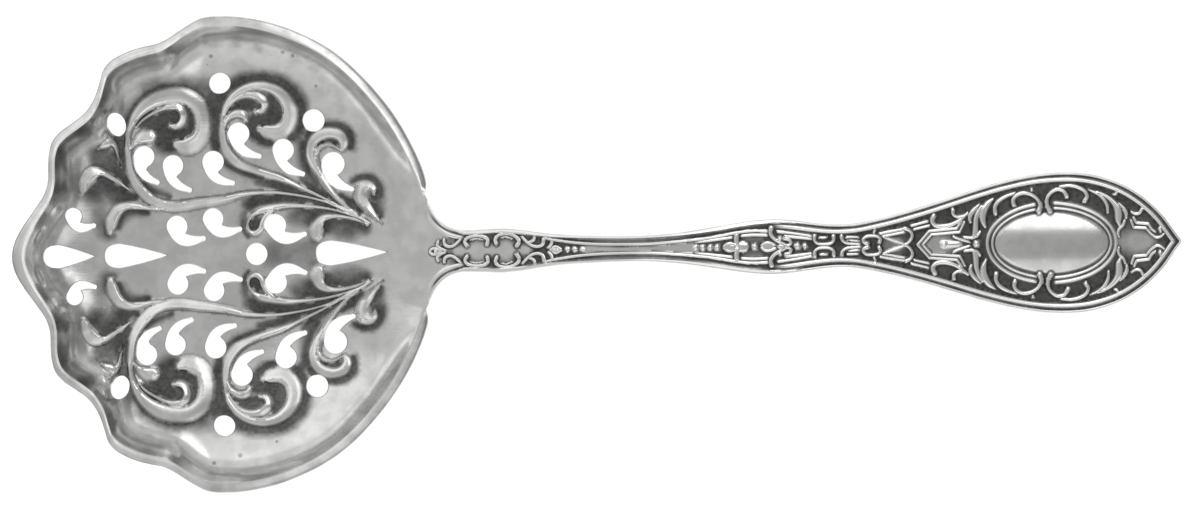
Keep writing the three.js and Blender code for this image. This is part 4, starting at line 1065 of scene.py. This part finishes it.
# Relief of the handle's upper half: x, distance from the centre line, width.
HANDLE_LINES = [
    # Palmette, its side leaf and the curled leaf behind it.
    [(23.75, 0.0, 0.2), (24.05, 0.3, 0.22), (24.5, 0.32, 0.22), (25.0, 0.05, 0.26)],
    [(24.75, 1.1, 0.24), (24.6, 0.75, 0.24), (24.95, 0.35, 0.22), (25.5, 0.1, 0.2)],
    [(25.4, 1.25, 0.26), (25.45, 0.8, 0.28), (25.85, 0.52, 0.28), (26.4, 0.58, 0.26), (26.9, 0.95, 0.22),
     (27.25, 1.3, 0.16)],
    # Two bracket pairs of the neck panel, each with a thin inner line.
    [(27.95, 0.6, 0.38), (27.7, 1.0, 0.3), (28.0, 1.45, 0.28), (28.6, 1.62, 0.28), (29.3, 1.65, 0.28),
     (29.95, 1.52, 0.28), (30.3, 1.15, 0.3), (30.2, 0.7, 0.36)],
    [(28.35, 1.2, 0.1), (29.0, 1.33, 0.14), (29.7, 1.22, 0.1)],
    [(31.25, 0.75, 0.36), (31.1, 1.2, 0.3), (31.4, 1.65, 0.28), (32.1, 1.83, 0.28), (32.9, 1.75, 0.28),
     (33.5, 1.42, 0.3), (33.75, 0.95, 0.32), (33.5, 0.5, 0.42)],
    [(31.7, 1.4, 0.1), (32.3, 1.48, 0.14), (33.0, 1.25, 0.1)],
    # Leaf scroll, collar and fleur before the stem.
    [(34.1, 1.45, 0.2), (34.6, 0.9, 0.24), (35.2, 0.48, 0.26), (35.9, 0.38, 0.26), (36.35, 0.6, 0.28),
     (36.45, 1.15, 0.34)],
    [(35.45, 1.35, 0.26), (35.3, 1.05, 0.22), (34.9, 0.9, 0.18)],
    [(37.0, 0.25, 0.26), (37.3, 0.62, 0.26), (37.4, 1.1, 0.28)],
    [(37.25, 0.0, 0.24), (37.75, 0.36, 0.24), (38.35, 0.05, 0.24)],
    # Thread of the stem, running on round the bellflowers, and its inner companion.
    [(36.6, 1.3, 0.2), (38.0, 1.02, 0.24), (40.0, 0.73, 0.24), (42.0, 0.57, 0.24), (44.0, 0.5, 0.24),
     (48.0, 0.5, 0.24), (50.0, 0.62, 0.24), (52.0, 0.78, 0.24), (54.0, 0.98, 0.24), (56.0, 1.27, 0.24),
     (57.5, 1.55, 0.24), (59.0, 1.74, 0.24), (60.0, 1.77, 0.24), (61.1, 1.72, 0.22)],
    [(62.3, 1.66, 0.22), (63.5, 1.52, 0.24), (65.0, 1.3, 0.24), (66.0, 1.12, 0.26)],
    [(53.2, 0.58, 0.12), (54.0, 0.68, 0.18), (56.0, 0.92, 0.2), (57.2, 1.08, 0.2)],
    [(58.3, 1.24, 0.2), (59.5, 1.32, 0.22), (61.1, 1.28, 0.22)],
    [(63.2, 1.15, 0.18), (64.4, 1.0, 0.22), (66.0, 0.82, 0.2)],
    # Bellflowers.
    [(56.35, 0.05, 0.22), (56.7, 0.38, 0.24), (57.2, 0.4, 0.24), (57.8, 0.15, 0.24)],
    [(57.9, 0.25, 0.34), (57.72, 0.75, 0.46), (57.75, 1.3, 0.46)],
    [(60.5, 0.1, 0.2), (60.85, 0.4, 0.24), (61.4, 0.44, 0.24), (62.0, 0.2, 0.2)],
    [(61.6, 2.05, 0.42), (61.5, 1.5, 0.36), (61.85, 0.95, 0.34), (62.5, 0.5, 0.32), (63.3, 0.12, 0.26)],
    [(63.1, 0.88, 0.32), (63.6, 0.75, 0.3), (63.78, 0.35, 0.28), (63.4, 0.08, 0.24)],
    # Back-to-back brackets, half bracket and clasp.
    [(66.4, 1.1, 0.36), (66.4, 0.6, 0.28), (66.7, 0.3, 0.26), (67.5, 0.2, 0.26), (68.2, 0.28, 0.26),
     (68.5, 0.55, 0.28), (68.5, 1.05, 0.38)],
    [(67.0, 0.95, 0.16), (67.3, 0.92, 0.2), (67.7, 0.95, 0.16)],
    [(69.4, 1.05, 0.38), (69.5, 0.6, 0.28), (69.9, 0.3, 0.25), (70.6, 0.2, 0.23), (71.4, 0.15, 0.2)],
    [(70.0, 0.95, 0.18), (70.6, 0.95, 0.18), (71.2, 0.93, 0.16)],
    [(70.2, 0.6, 0.14), (70.8, 0.55, 0.16), (71.4, 0.5, 0.14)],
    [(72.3, 0.2, 0.4), (71.9, 0.35, 0.32), (71.8, 0.65, 0.28), (72.1, 0.95, 0.28), (72.8, 1.05, 0.28),
     (73.5, 0.95, 0.28), (73.75, 0.6, 0.3), (73.6, 0.3, 0.38)],
    [(73.0, 1.4, 0.2), (73.15, 1.7, 0.2), (73.05, 2.0, 0.14)],
    # Straps, the loop that crosses the centre line and the long lines beside it.
    [(73.7, 1.28, 0.2), (75.0, 1.52, 0.23), (76.2, 1.72, 0.24)],
    [(74.0, 0.95, 0.18), (75.2, 1.18, 0.2), (76.4, 1.4, 0.2)],
    [(76.55, 1.8, 0.36), (77.0, 1.6, 0.3), (77.3, 1.1, 0.28), (77.1, 0.5, 0.28), (76.6, 0.05, 0.26),
     (76.0, -0.25, 0.24), (75.0, -0.6, 0.22), (74.1, -0.9, 0.18)],
    [(77.2, 2.1, 0.2), (78.0, 2.3, 0.24), (79.05, 2.57, 0.24)],
    [(77.5, 1.7, 0.18), (78.3, 1.88, 0.2), (79.1, 2.06, 0.2)],
    # Strapwork point, outer and inner strap.
    [(77.9, 0.0, 0.26), (79.2, 1.48, 0.26)],
    [(79.2, 1.48, 0.26), (82.3, 1.74, 0.26)],
    [(82.3, 1.74, 0.26), (82.8, 2.5, 0.2)],
    [(78.5, 0.0, 0.2), (79.45, 1.08, 0.2)],
    [(79.45, 1.08, 0.2), (82.6, 1.32, 0.2)],
    [(82.6, 1.32, 0.2), (83.15, 2.4, 0.18)],
    # Bud between the straps with its side leaf.
    [(81.9, 0.85, 0.2), (82.4, 0.64, 0.24), (83.0, 0.44, 0.22), (83.7, 0.22, 0.16)],
    # Leaf scroll and fronds before the oval.
    [(79.75, 3.15, 0.46), (79.56, 2.8, 0.42), (79.6, 2.42, 0.4), (79.9, 2.12, 0.38), (80.4, 2.0, 0.38),
     (81.1, 2.02, 0.38), (81.9, 2.24, 0.36), (82.7, 2.7, 0.3), (83.5, 3.4, 0.2)],
    [(81.9, 3.8, 0.38), (81.9, 3.35, 0.3), (82.3, 3.05, 0.26), (82.9, 3.05, 0.24), (83.5, 3.35, 0.18)],
    [(83.1, 0.75, 0.2), (83.6, 0.72, 0.24), (84.1, 0.7, 0.32), (84.35, 1.2, 0.52), (84.4, 1.9, 0.5),
     (84.45, 2.7, 0.42), (84.7, 3.5, 0.38), (85.1, 4.2, 0.2)],
    [(84.2, 0.72, 0.2), (84.6, 0.9, 0.26), (84.9, 1.3, 0.18)],
    [(83.85, 2.4, 0.2), (83.75, 2.85, 0.34), (83.95, 3.4, 0.4), (84.35, 3.9, 0.36), (84.85, 4.35, 0.14)],
    [(85.5, 1.85, 0.2), (85.28, 2.4, 0.46), (85.22, 3.1, 0.58), (85.42, 3.85, 0.64), (85.85, 4.5, 0.5),
     (86.45, 5.0, 0.14)],
    # Scrolls above the oval.
    [(86.65, 3.4, 0.42), (86.6, 4.0, 0.34), (86.95, 4.65, 0.36), (87.6, 5.1, 0.32), (88.3, 5.4, 0.24),
     (88.9, 5.6, 0.14)],
    [(91.55, 3.5, 0.5), (91.72, 4.1, 0.36), (91.5, 4.75, 0.32), (90.9, 5.3, 0.32), (90.1, 5.58, 0.32),
     (89.4, 5.5, 0.32), (88.85, 5.15, 0.33), (88.65, 4.7, 0.36), (88.75, 4.25, 0.4)],
    [(92.8, 3.5, 0.5), (92.5, 4.15, 0.36), (92.5, 4.95, 0.32), (92.95, 5.6, 0.32), (93.7, 5.95, 0.32),
     (94.35, 5.75, 0.34), (94.7, 5.2, 0.42)],
    [(94.0, 6.25, 0.18), (95.0, 6.35, 0.28), (96.0, 6.15, 0.32), (96.75, 5.7, 0.33), (97.0, 5.1, 0.34),
     (96.7, 4.6, 0.4)],
    [(97.2, 5.85, 0.12), (98.2, 5.4, 0.24), (98.9, 4.75, 0.32), (99.25, 4.05, 0.3), (99.3, 3.3, 0.22)],
    # Fronds right of the oval, zigzag straps and the small scroll toward the tip.
    [(98.1, 5.65, 0.12), (99.2, 5.1, 0.32), (99.9, 4.5, 0.46), (100.38, 3.8, 0.62), (100.5, 3.0, 0.66),
     (100.48, 2.4, 0.54), (100.6, 1.9, 0.24)],
    [(100.6, 4.3, 0.12), (101.1, 3.75, 0.32), (101.38, 3.1, 0.34), (101.35, 2.65, 0.2)],
    [(101.2, 2.4, 0.2), (101.0, 1.85, 0.26), (100.6, 1.5, 0.28), (100.42, 1.0, 0.26), (100.5, 0.6, 0.18)],
    [(102.2, 2.7, 0.2), (102.5, 2.12, 0.22)],
    [(102.5, 2.12, 0.22), (103.85, 1.98, 0.22)],
    [(103.85, 1.98, 0.22), (104.25, 1.35, 0.22), (104.6, 1.1, 0.18)],
    [(101.9, 2.4, 0.2), (102.2, 1.6, 0.22)],
    [(102.2, 1.6, 0.22), (103.55, 1.52, 0.22)],
    [(103.55, 1.52, 0.22), (104.15, 0.85, 0.22), (104.8, 0.45, 0.22), (105.3, 0.6, 0.2),
     (105.6, 0.85, 0.16)],
    [(101.95, 3.35, 0.16), (102.35, 3.12, 0.26), (102.85, 3.18, 0.28), (103.15, 3.65, 0.3)],
    [(99.9, 5.3, 0.14), (100.2, 5.35, 0.24), (100.38, 5.65, 0.28)],
]

# Beads: x, distance from the centre line, length, width.
HANDLE_BEADS = [
    (39.1, 0.0, 0.56, 0.68), (39.9, 0.0, 0.54, 0.64), (40.7, 0.0, 0.5, 0.58), (53.2, 0.0, 0.5, 0.55),
    (54.0, 0.0, 0.6, 0.68), (54.8, 0.0, 0.6, 0.7), (55.6, 0.0, 0.64, 0.74), (59.75, 0.0, 0.7, 0.82),
    (62.55, 0.82, 0.45, 0.55), (64.5, 0.0, 0.76, 0.82), (65.35, 0.0, 0.56, 0.64), (80.85, 0.0, 0.8, 0.62),
    (84.5, 0.0, 0.74, 0.78),
    (105.15, 1.35, 0.36, 0.7), (90.75, 5.95, 0.36, 0.36), (24.4, 0.0, 0.5, 0.36), (37.8, 0.0, 0.6, 0.4),
]

# Flat buds and bell mouths inside their outlines: x, distance from the centre line, length, width.
HANDLE_BUDS = [
    (57.1, 0.0, 1.5, 0.8), (58.45, 0.0, 1.3, 1.25), (61.2, 0.0, 1.4, 0.76), (62.8, 0.0, 1.3, 0.6),
    (81.8, 0.0, 2.4, 0.78),
]
BUD_RISE = 0.1

# Oval cartouche: two raised rings round a plain convex field.
OVAL_X = 92.95
OVAL_GAP_X = 92.2
OVAL_RINGS = [(7.25, 4.42, 0.36), (6.68, 3.86, 0.32)]
OVAL_FIELD = (6.4, 3.36, 0.37)

# Plain polished places of the field: x, distance from the centre line, half width.
POLISHED = [
    (1.0, [(23.6, 5.6, 0.9), (23.6, 3.0, 1.6), (23.6, 0.0, 1.6)]),
    (1.0, [(24.6, 2.4, 0.7), (25.4, 1.7, 0.4)]),
    (0.95, [(26.8, 0.0, 0.35), (28.2, 0.0, 0.5), (29.2, 0.0, 0.85), (30.0, 0.0, 0.6), (30.7, 0.0, 0.42),
            (31.4, 0.0, 0.6), (32.3, 0.0, 0.95), (33.2, 0.0, 0.5), (34.6, 0.0, 0.35)]),
    (1.0, [(41.2, 0.0, 0.4), (43.0, 0.0, 0.5), (48.0, 0.0, 0.5), (51.0, 0.0, 0.6), (52.8, 0.0, 0.5)]),
    (0.9, [(78.9, 0.0, 0.5), (79.9, 0.0, 1.0), (80.4, 0.0, 0.9)]),
    (0.55, [(101.2, 0.0, 0.9), (102.0, 0.0, 1.2)]),
    (0.95, [(102.5, 0.0, 1.0), (103.3, 0.0, 0.8)]),
    (0.35, [(74.6, 0.0, 0.5), (75.6, 0.0, 0.6)]),
    (0.3, [(59.0, 1.0, 0.3), (60.2, 1.0, 0.3)]),
]


def along_rows(rows, column, x):
    """A smooth line through the rows, read at x."""
    run = flow([(row[0], row[column]) for row in rows], 0.02)
    return np.interp(x, run[:, 0], run[:, 1])


def half_width(x):
    return along_rows(HALF_WIDTHS, 1, x)


def arch_top(x):
    share = along_rows(SIDE_VIEW, 1, x)
    down = (NECK_TOP - TIP_TOP) * share / TIP_SHARE
    return NECK_TOP + np.where(share >= 0.0, ARCH_RISE * share, down)


def bar_thickness(x):
    return HANDLE_THICKNESS * along_rows(SIDE_VIEW, 2, x)


# The outline again with the border's scale, which narrows with the stem and stays full into the tip.
border_line = [(x, half, 1.0 if x > OVAL_X else min(1.0, half / FULL_BORDER)) for x, half in HALF_WIDTHS]


def edge_gap(x, y):
    """How far a spot lies inside the handle's outline, in widths of the border there."""
    gap, scale = nearest(flow(border_line, 0.1), to_upper(np.column_stack([x, y])))
    return np.abs(gap) / scale


def oval_gap(x, y, long, wide):
    q = np.hypot((x - OVAL_X) / long, y / wide)
    pull = np.hypot((x - OVAL_X) / long ** 2, y / wide ** 2) / np.maximum(q, 1e-6)
    return (q - 1.0) / np.maximum(pull, 1e-6)


def bead_shape(offset, width, lean):
    """A low half-round line."""
    return np.clip(1.0 - (offset / (0.5 * width)) ** 2, 0.0, 1.0)


handle_strokes = []
for line in HANDLE_LINES:
    handle_strokes.append((bead_shape, 0, [(x, v, width * ORNAMENT_BREADTH) for x, v, width in line]))


def oval_parts(x, y):
    """Rise and polish of the cartouche: rings, left open where the scrolls come in, and a domed field."""
    rise = np.zeros(len(x))
    polish = np.zeros(len(x))
    opened = 1.0 - smooth(0.85, 1.25, np.abs(x - OVAL_GAP_X))
    for long, wide, width in OVAL_RINGS:
        ring = np.abs(oval_gap(x, y, long, wide))
        share = bead_shape(ring, width, 0) * (1.0 - opened)
        rise = np.maximum(rise, RING_RISE * share)
        polish = np.maximum(polish, share)
    long, wide, dome = OVAL_FIELD
    inside = smooth(0.0, 0.09, -oval_gap(x, y, long, wide))
    swell = np.clip(1.0 - ((x - OVAL_X) / long) ** 4 - (y / wide) ** 2, 0.0, 1.0)
    rise = np.maximum(rise, inside * (0.06 + (dome - 0.06) * swell))
    return rise, polish, inside


# Along the handle: where its field sinks in, where the neck's threads run out and the broad end's begin,
# and where the roll of the border dulls and clears again.
FIELD_SINKS = (23.7, 26.5)
THREADS_END = (26.6, 28.0)
THREADS_BEGIN = (60.0, 66.0)
ROLL_DULLS = (26.6, 29.6)
ROLL_CLEARS = (33.0, 36.0)
# Across the border, from the edge in widths of the border: thread, groove outside it, line inside it.
THREAD_AT = 0.82
THREAD_HALF = 0.23
GROOVE_AT = 0.47
INNER_LINE_AT = 1.16


def handle_face(x, y):
    """Height of the struck face, and how dark its field is."""
    e = edge_gap(x, y)
    struck_share = smooth(*FIELD_SINKS, x)
    threaded = np.maximum(1.0 - smooth(*THREADS_END, x), smooth(*THREADS_BEGIN, x))
    broad = 0.22 + 0.24 * (1.0 - threaded)
    roll = 1.0 - smooth(broad, broad + 0.12, e)
    thread = threaded * np.clip(1.0 - ((e - THREAD_AT) / THREAD_HALF) ** 2, 0.0, 1.0)
    folded = to_upper(np.column_stack([x, y]))
    crossing = np.column_stack([x, -np.abs(y)])
    across = [stroke for stroke in handle_strokes if min(row[1] for row in stroke[2]) < 0.0]
    raised, polish, clear = struck(handle_strokes, folded, ORNAMENT_RISE)
    crossed = struck(across, crossing, ORNAMENT_RISE)
    raised = np.maximum(raised, crossed[0])
    polish = np.maximum(polish, crossed[1])
    for mounds, rise in ((HANDLE_BEADS, BEAD_RISE), (HANDLE_BUDS, BUD_RISE)):
        for bx, by, length, width in mounds:
            q = np.hypot((x - bx) / (0.5 * length), (np.abs(y) - by) / (0.5 * width))
            share = np.sqrt(np.clip(1.0 - q ** 2, 0.0, 1.0))
            raised = np.maximum(raised, rise * share)
            polish = np.maximum(polish, share)
    oval, ring_polish, field = oval_parts(x, y)
    border = struck_share * np.maximum(0.8 * FIELD_DROP * roll, THREAD_RISE * thread)
    up = np.maximum(np.maximum(border, raised), oval)
    round_off = 1.0 - np.clip(e / (0.04 + broad), 0.0, 1.0)
    drop = 0.26 * (1.0 - np.sqrt(np.clip(1.0 - round_off ** 2, 0.0, 1.0)))
    height = arch_top(x) - FIELD_DROP * struck_share + up - drop
    dull_roll = roll * (1.0 - 0.5 * smooth(*ROLL_DULLS, x) * (1.0 - smooth(*ROLL_CLEARS, x)))
    bright = smooth(0.12, 0.5, np.maximum.reduce([dull_roll, thread, polish, ring_polish]))
    plain = np.maximum(pooled(POLISHED, folded), field) * smooth(0.0, 0.22, clear)
    groove = 0.98 * threaded * np.exp(-((e - GROOVE_AT) / 0.16) ** 2) * smooth(HANDLE_X, 24.4, x)
    foot = np.exp(-(np.maximum(clear, 0.0) / 0.16) ** 2)
    foot = np.maximum(foot, threaded * np.exp(-((e - INNER_LINE_AT) / 0.12) ** 2))
    ground = np.maximum((0.91 + 0.08 * foot) * (1.0 - plain), np.maximum(groove, FILM))
    rubbed = 0.22 * (1.0 - smooth(0.1, 0.3, e)) * struck_share
    return height, np.maximum((1.0 - bright) * ground, rubbed)


# How the handle is meshed: the limits of its plan, and rows of points beside the oval's rings, across the
# edge of its field, and across the border in widths of the border.
HANDLE_LOW = (HANDLE_X, -8.0)
HANDLE_HIGH = (HANDLE_TIP, 8.0)
RING_ROWS = (0.0, 0.09, -0.09, 0.15, -0.15, 0.22, -0.22)
FIELD_ROWS = (0.04, 0.0, -0.045, -0.09, -0.16)
BORDER_ROWS = (0.05, 0.12, 0.19, 0.26, 0.34, 0.44, 0.54, 0.62, 0.71, 0.8, 0.89, 0.98, 1.06)
# The bar's side from its upper edge down: how far in, and the share of the fall.
SIDE_ROWS = [(0.0, 0.25), (0.03, 0.5), (0.12, 0.74), (0.28, 0.92)]
BACK_INSET = 0.52
BACK_DULL = 0.4
# The filed end is bowed by this little, and the side's rounding runs out over this length before it.
FILE_BOW = 0.003
FILE_RUN = 1.2


def oval_line(long, wide):
    a = np.linspace(0.0, math.tau, 300)[:-1]
    return np.column_stack([OVAL_X + long * np.cos(a), wide * np.sin(a)])


def make_handle():
    flare = HALF_WIDTHS[0][1]
    upper = flow(HALF_WIDTHS, 0.24)
    upper[0] = HALF_WIDTHS[0]
    upper[-1] = HALF_WIDTHS[-1]
    across = np.linspace(flare, -flare, 48)[1:-1]
    filed = np.column_stack([HANDLE_X + FILE_BOW * (1.0 - (across / flare) ** 2), across])
    outer = np.vstack([filed, upper * (1.0, -1.0), upper[::-1]])

    rows = []
    for long, wide, _ in OVAL_RINGS:
        rows += [oval_line(long + off, wide + off) for off in RING_ROWS]
    long, wide, _ = OVAL_FIELD
    rows += [oval_line(long + off, wide + off) for off in FIELD_ROWS]
    border = flow(border_line, 0.14)
    ahead = heading(border)
    inner = np.column_stack([ahead[:, 1], -ahead[:, 0]]) * border[:, 2:3]
    for e in BORDER_ROWS:
        line = border[:, :2] + e * inner
        line = line[(line[:, 1] > 0.03) & (line[:, 0] > HANDLE_X + 0.03)]
        rows += [line, line * (1.0, -1.0)]
    chased = np.vstack(rows + [chase_lines(handle_strokes, step=0.13)])
    spots = kept_clear(thinned(chased, gap=0.058), outer, [], gap=0.04)
    fine = kept_clear(hex_grid(HANDLE_LOW, HANDLE_HIGH, step=0.19), outer, [], gap=0.08)
    plan, plan_faces = fill_plan(outer, [], spaced(spots, fine, gap=0.1))
    height, dark = handle_face(plan[:, 0], plan[:, 1])

    ahead = loop_heading(outer)
    inward = np.column_stack([-ahead[:, 1], ahead[:, 0]])
    scale = np.minimum(1.0, half_width(outer[:, 0]) / FULL_BORDER)
    scale = scale * np.clip((outer[:, 0] - HANDLE_X) / FILE_RUN, 0.0, 1.0)
    scale[:len(filed)] = 0.0
    edge = height[:len(outer)]
    under = arch_top(outer[:, 0]) - bar_thickness(outer[:, 0])
    sides = []
    for inset, fall in SIDE_ROWS:
        loop = outer + inward * (inset * scale)[:, None]
        sides.append(np.column_stack([loop, edge + (under - edge) * fall]))
    back_loop = outer + inward * (BACK_INSET * scale)[:, None]
    back_spots = kept_clear(hex_grid(HANDLE_LOW, HANDLE_HIGH, step=1.4), back_loop, [], gap=0.5)
    back_plan, back_faces = fill_plan(back_loop, [], back_spots)
    back_height = arch_top(back_plan[:, 0]) - bar_thickness(back_plan[:, 0])
    back = np.column_stack([back_plan, back_height])
    points, faces = stitched(np.column_stack([plan, height]), plan_faces, sides, back, back_faces)
    tarnish_and_shade = dark.tolist() + [BACK_DULL] * (len(points) - len(plan))
    return silver_mesh("arched_handle", points, faces, tarnish_and_shade, sharp=60.0, crisp=[])


handle = make_handle()
handle_silver = silver(
    "struck_handle_silver", clouding=0.12, dullness=0.12, scratches=0.2, pits=0.3, bump=0.2
)
handle.data.materials.append(handle_silver)
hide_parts("handle")
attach(handle, "root")


# Solder seam: a thin run of hard silver solder between the bowl's neck and the filed end of the handle.
# It was drawn into the joint by heat and filed nearly flush, so it shows as a faint, rippled line.
SEAM_STATIONS = 90
SEAM_SHARE = 0.995
SEAM_FOOT = 0.02
SEAM_DULL = FILM + 0.02
# Across the seam from bowl to handle: share of the way, and how far the file has sunk it.
SEAM_ROWS = [(0.0, 0.0), (0.25, -0.002), (0.5, -0.003), (0.75, -0.002), (1.0, 0.0)]
# Ripples along it: height, closeness, start.
SEAM_RIPPLES = [(0.002, 31.0, 0.0), (0.0015, 73.0, 1.3)]


def make_seam():
    neck_foot = RIM_HEIGHT - NECK_SHEET
    handle_foot = NECK_TOP - HANDLE_THICKNESS * SIDE_VIEW[0][2]
    loops = []
    for s in np.linspace(-1.0, 1.0, SEAM_STATIONS):
        ripple = sum(high * math.sin(close * s + start) for high, close, start in SEAM_RIPPLES)
        ends = 1.0 - 0.5 * max(0.0, abs(s) - 0.97) / 0.03
        upper = []
        lower = []
        for t, sunk in SEAM_ROWS:
            x = NECK_X + (HANDLE_X - NECK_X) * t
            y = s * (NECK_HALF + (HALF_WIDTHS[0][1] - NECK_HALF) * t) * SEAM_SHARE
            high = RIM_HEIGHT + NECK_LIFT + (NECK_TOP - RIM_HEIGHT - NECK_LIFT) * t
            lift = (sunk + ripple * (1.0 - abs(2.0 * t - 1.0))) * ends
            upper.append((x, y, high + lift))
            lower.append((x, y, neck_foot + (handle_foot - neck_foot) * t + SEAM_FOOT))
        loops.append(upper + lower[::-1])
    size = len(loops[0])
    points = [point for loop in loops for point in loop]
    rings = [ring_of(k * size, size) for k in range(len(loops))]
    faces = []
    for a, b in zip(rings, rings[1:]):
        faces += [(a[i], a[(i + 1) % size], b[(i + 1) % size], b[i]) for i in range(size)]
    faces += [rings[0][::-1], rings[-1]]
    tarnish_and_shade = [SEAM_DULL] * len(points)
    return silver_mesh("neck_solder", points, faces, tarnish_and_shade, sharp=50.0, crisp=[])


seam = make_seam()
seam_silver = silver("dull_solder", clouding=0.35, dullness=0.2, scratches=0.5, pits=0.6, bump=0.35)
seam.data.materials.append(seam_silver)
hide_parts("solder_seam")
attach(seam, "root")


# Table: a plain pale sheet under the spoon, which is not part of it.
# It glows evenly, so that the outline and the sawn holes stand out clear.
TABLE_HALF = 1.5
TABLE_DROP = 0.0001


def make_floor():
    h = TABLE_HALF
    mesh = bpy.data.meshes.new("pale_table")
    corners = [(-h, -h, 0.0), (h, -h, 0.0), (h, h, 0.0), (-h, h, 0.0)]
    mesh.from_pydata(corners, [], [(0, 1, 2, 3)])
    table = bpy.data.objects.new("pale_table", mesh)
    table.location.z = -TABLE_DROP
    bpy.context.scene.collection.objects.link(table)
    paper = bpy.data.materials.new("pale_paper")
    paper.use_nodes = True
    feed_all(paper.node_tree, paper.node_tree.nodes["Principled BSDF"], {
        "Base Color": (0.35, 0.35, 0.35, 1.0),
        "Roughness": 0.8,
        "Emission Color": (1.0, 1.0, 1.0, 1.0),
        "Emission Strength": 0.85,
    })
    mesh.materials.append(paper)
    return table


floor = make_floor()


# Light: a grey room with broad soft panels overhead, the strongest beyond the picture's upper edge.
# Panels that overlap hang at slightly different heights, so that the light of each one counts.
PANEL_HEIGHT = 1.3


def soft_panel(name, x_from, x_to, y_from, y_to, height, glow):
    """A level panel of even light facing down, given by its edges, its height and its brightness."""
    light = bpy.data.lights.new(name, "AREA")
    light.shape = "RECTANGLE"
    light.size = x_to - x_from
    light.size_y = y_to - y_from
    light.energy = glow * math.pi * light.size * light.size_y
    lamp = bpy.data.objects.new(name, light)
    lamp.location = (0.5 * (x_from + x_to), 0.5 * (y_from + y_to), height)
    bpy.context.scene.collection.objects.link(lamp)


# Each panel by its ends in x, its ends in y, its height and its brightness.
soft_panel("upper_panel", -0.3, 0.3, 0.24, 2.4, PANEL_HEIGHT, 0.2)
soft_panel("upper_right_panel", 0.3, 1.1, 0.24, 2.4, PANEL_HEIGHT, 1.15)
soft_panel("upper_left_panel_near", -3.2, -0.3, 0.1, 2.4, PANEL_HEIGHT, 0.1)
soft_panel("upper_left_panel", -3.2, -0.3, 0.28, 2.4, PANEL_HEIGHT + 0.02, 0.11)
soft_panel("upper_left_panel_far", -3.2, -0.3, 0.46, 2.4, PANEL_HEIGHT + 0.04, 0.13)
soft_panel("lower_panel", 0.12, 1.8, -1.6, -0.29, PANEL_HEIGHT, 0.45)
soft_panel("left_panel", -2.8, -1.15, -1.6, 1.6, 0.35, 0.55)
world = bpy.data.worlds.new("pale_tent")
world.use_nodes = True
sky = world.node_tree
toward = sky.nodes.new("ShaderNodeTexCoord")
parts = sky.nodes.new("ShaderNodeSeparateXYZ")
sky.links.new(toward.outputs["Generated"], parts.inputs["Vector"])
# The room by direction: brighter to the left, and low down toward the upper and the lower side.
sideways = ramp_of(sky, parts.outputs["X"], -0.5, 0.9, 0.55, 0.35)
upper_side = ramp_of(sky, parts.outputs["Y"], 0.3, 0.95, 0.0, 0.28)
lower_side = ramp_of(sky, parts.outputs["Y"], -0.85, -0.3, 0.2, 0.0)
whole = math_of(sky, "ADD", sideways, math_of(sky, "ADD", upper_side, lower_side))
feed_all(sky, sky.nodes["Background"], {"Color": (1.0, 1.0, 1.0, 1.0), "Strength": whole})
bpy.context.scene.world = world
bpy.context.scene.view_settings.view_transform = "Standard"
bpy.context.scene.view_settings.look = "None"


# Camera: straight down on the spoon, as the photograph is taken, from far off through a long lens.
# It is turned by the spoon's slight lean in the picture.
FRAME_WIDTH = 0.13333
FRAME_MIDDLE = (0.04266, -0.00076)
FRAME_HEIGHT = 0.005
LENS = 250.0
SENSOR = 36.0
LEAN = math.radians(-0.8)
view = bpy.data.cameras.new("overhead")
view.lens = LENS
view.sensor_width = SENSOR
view.clip_end = 10.0
camera = bpy.data.objects.new("overhead", view)
camera.location = (*FRAME_MIDDLE, FRAME_HEIGHT + FRAME_WIDTH * LENS / SENSOR)
camera.rotation_euler = (0.0, 0.0, LEAN)
bpy.context.scene.collection.objects.link(camera)
bpy.context.scene.camera = camera
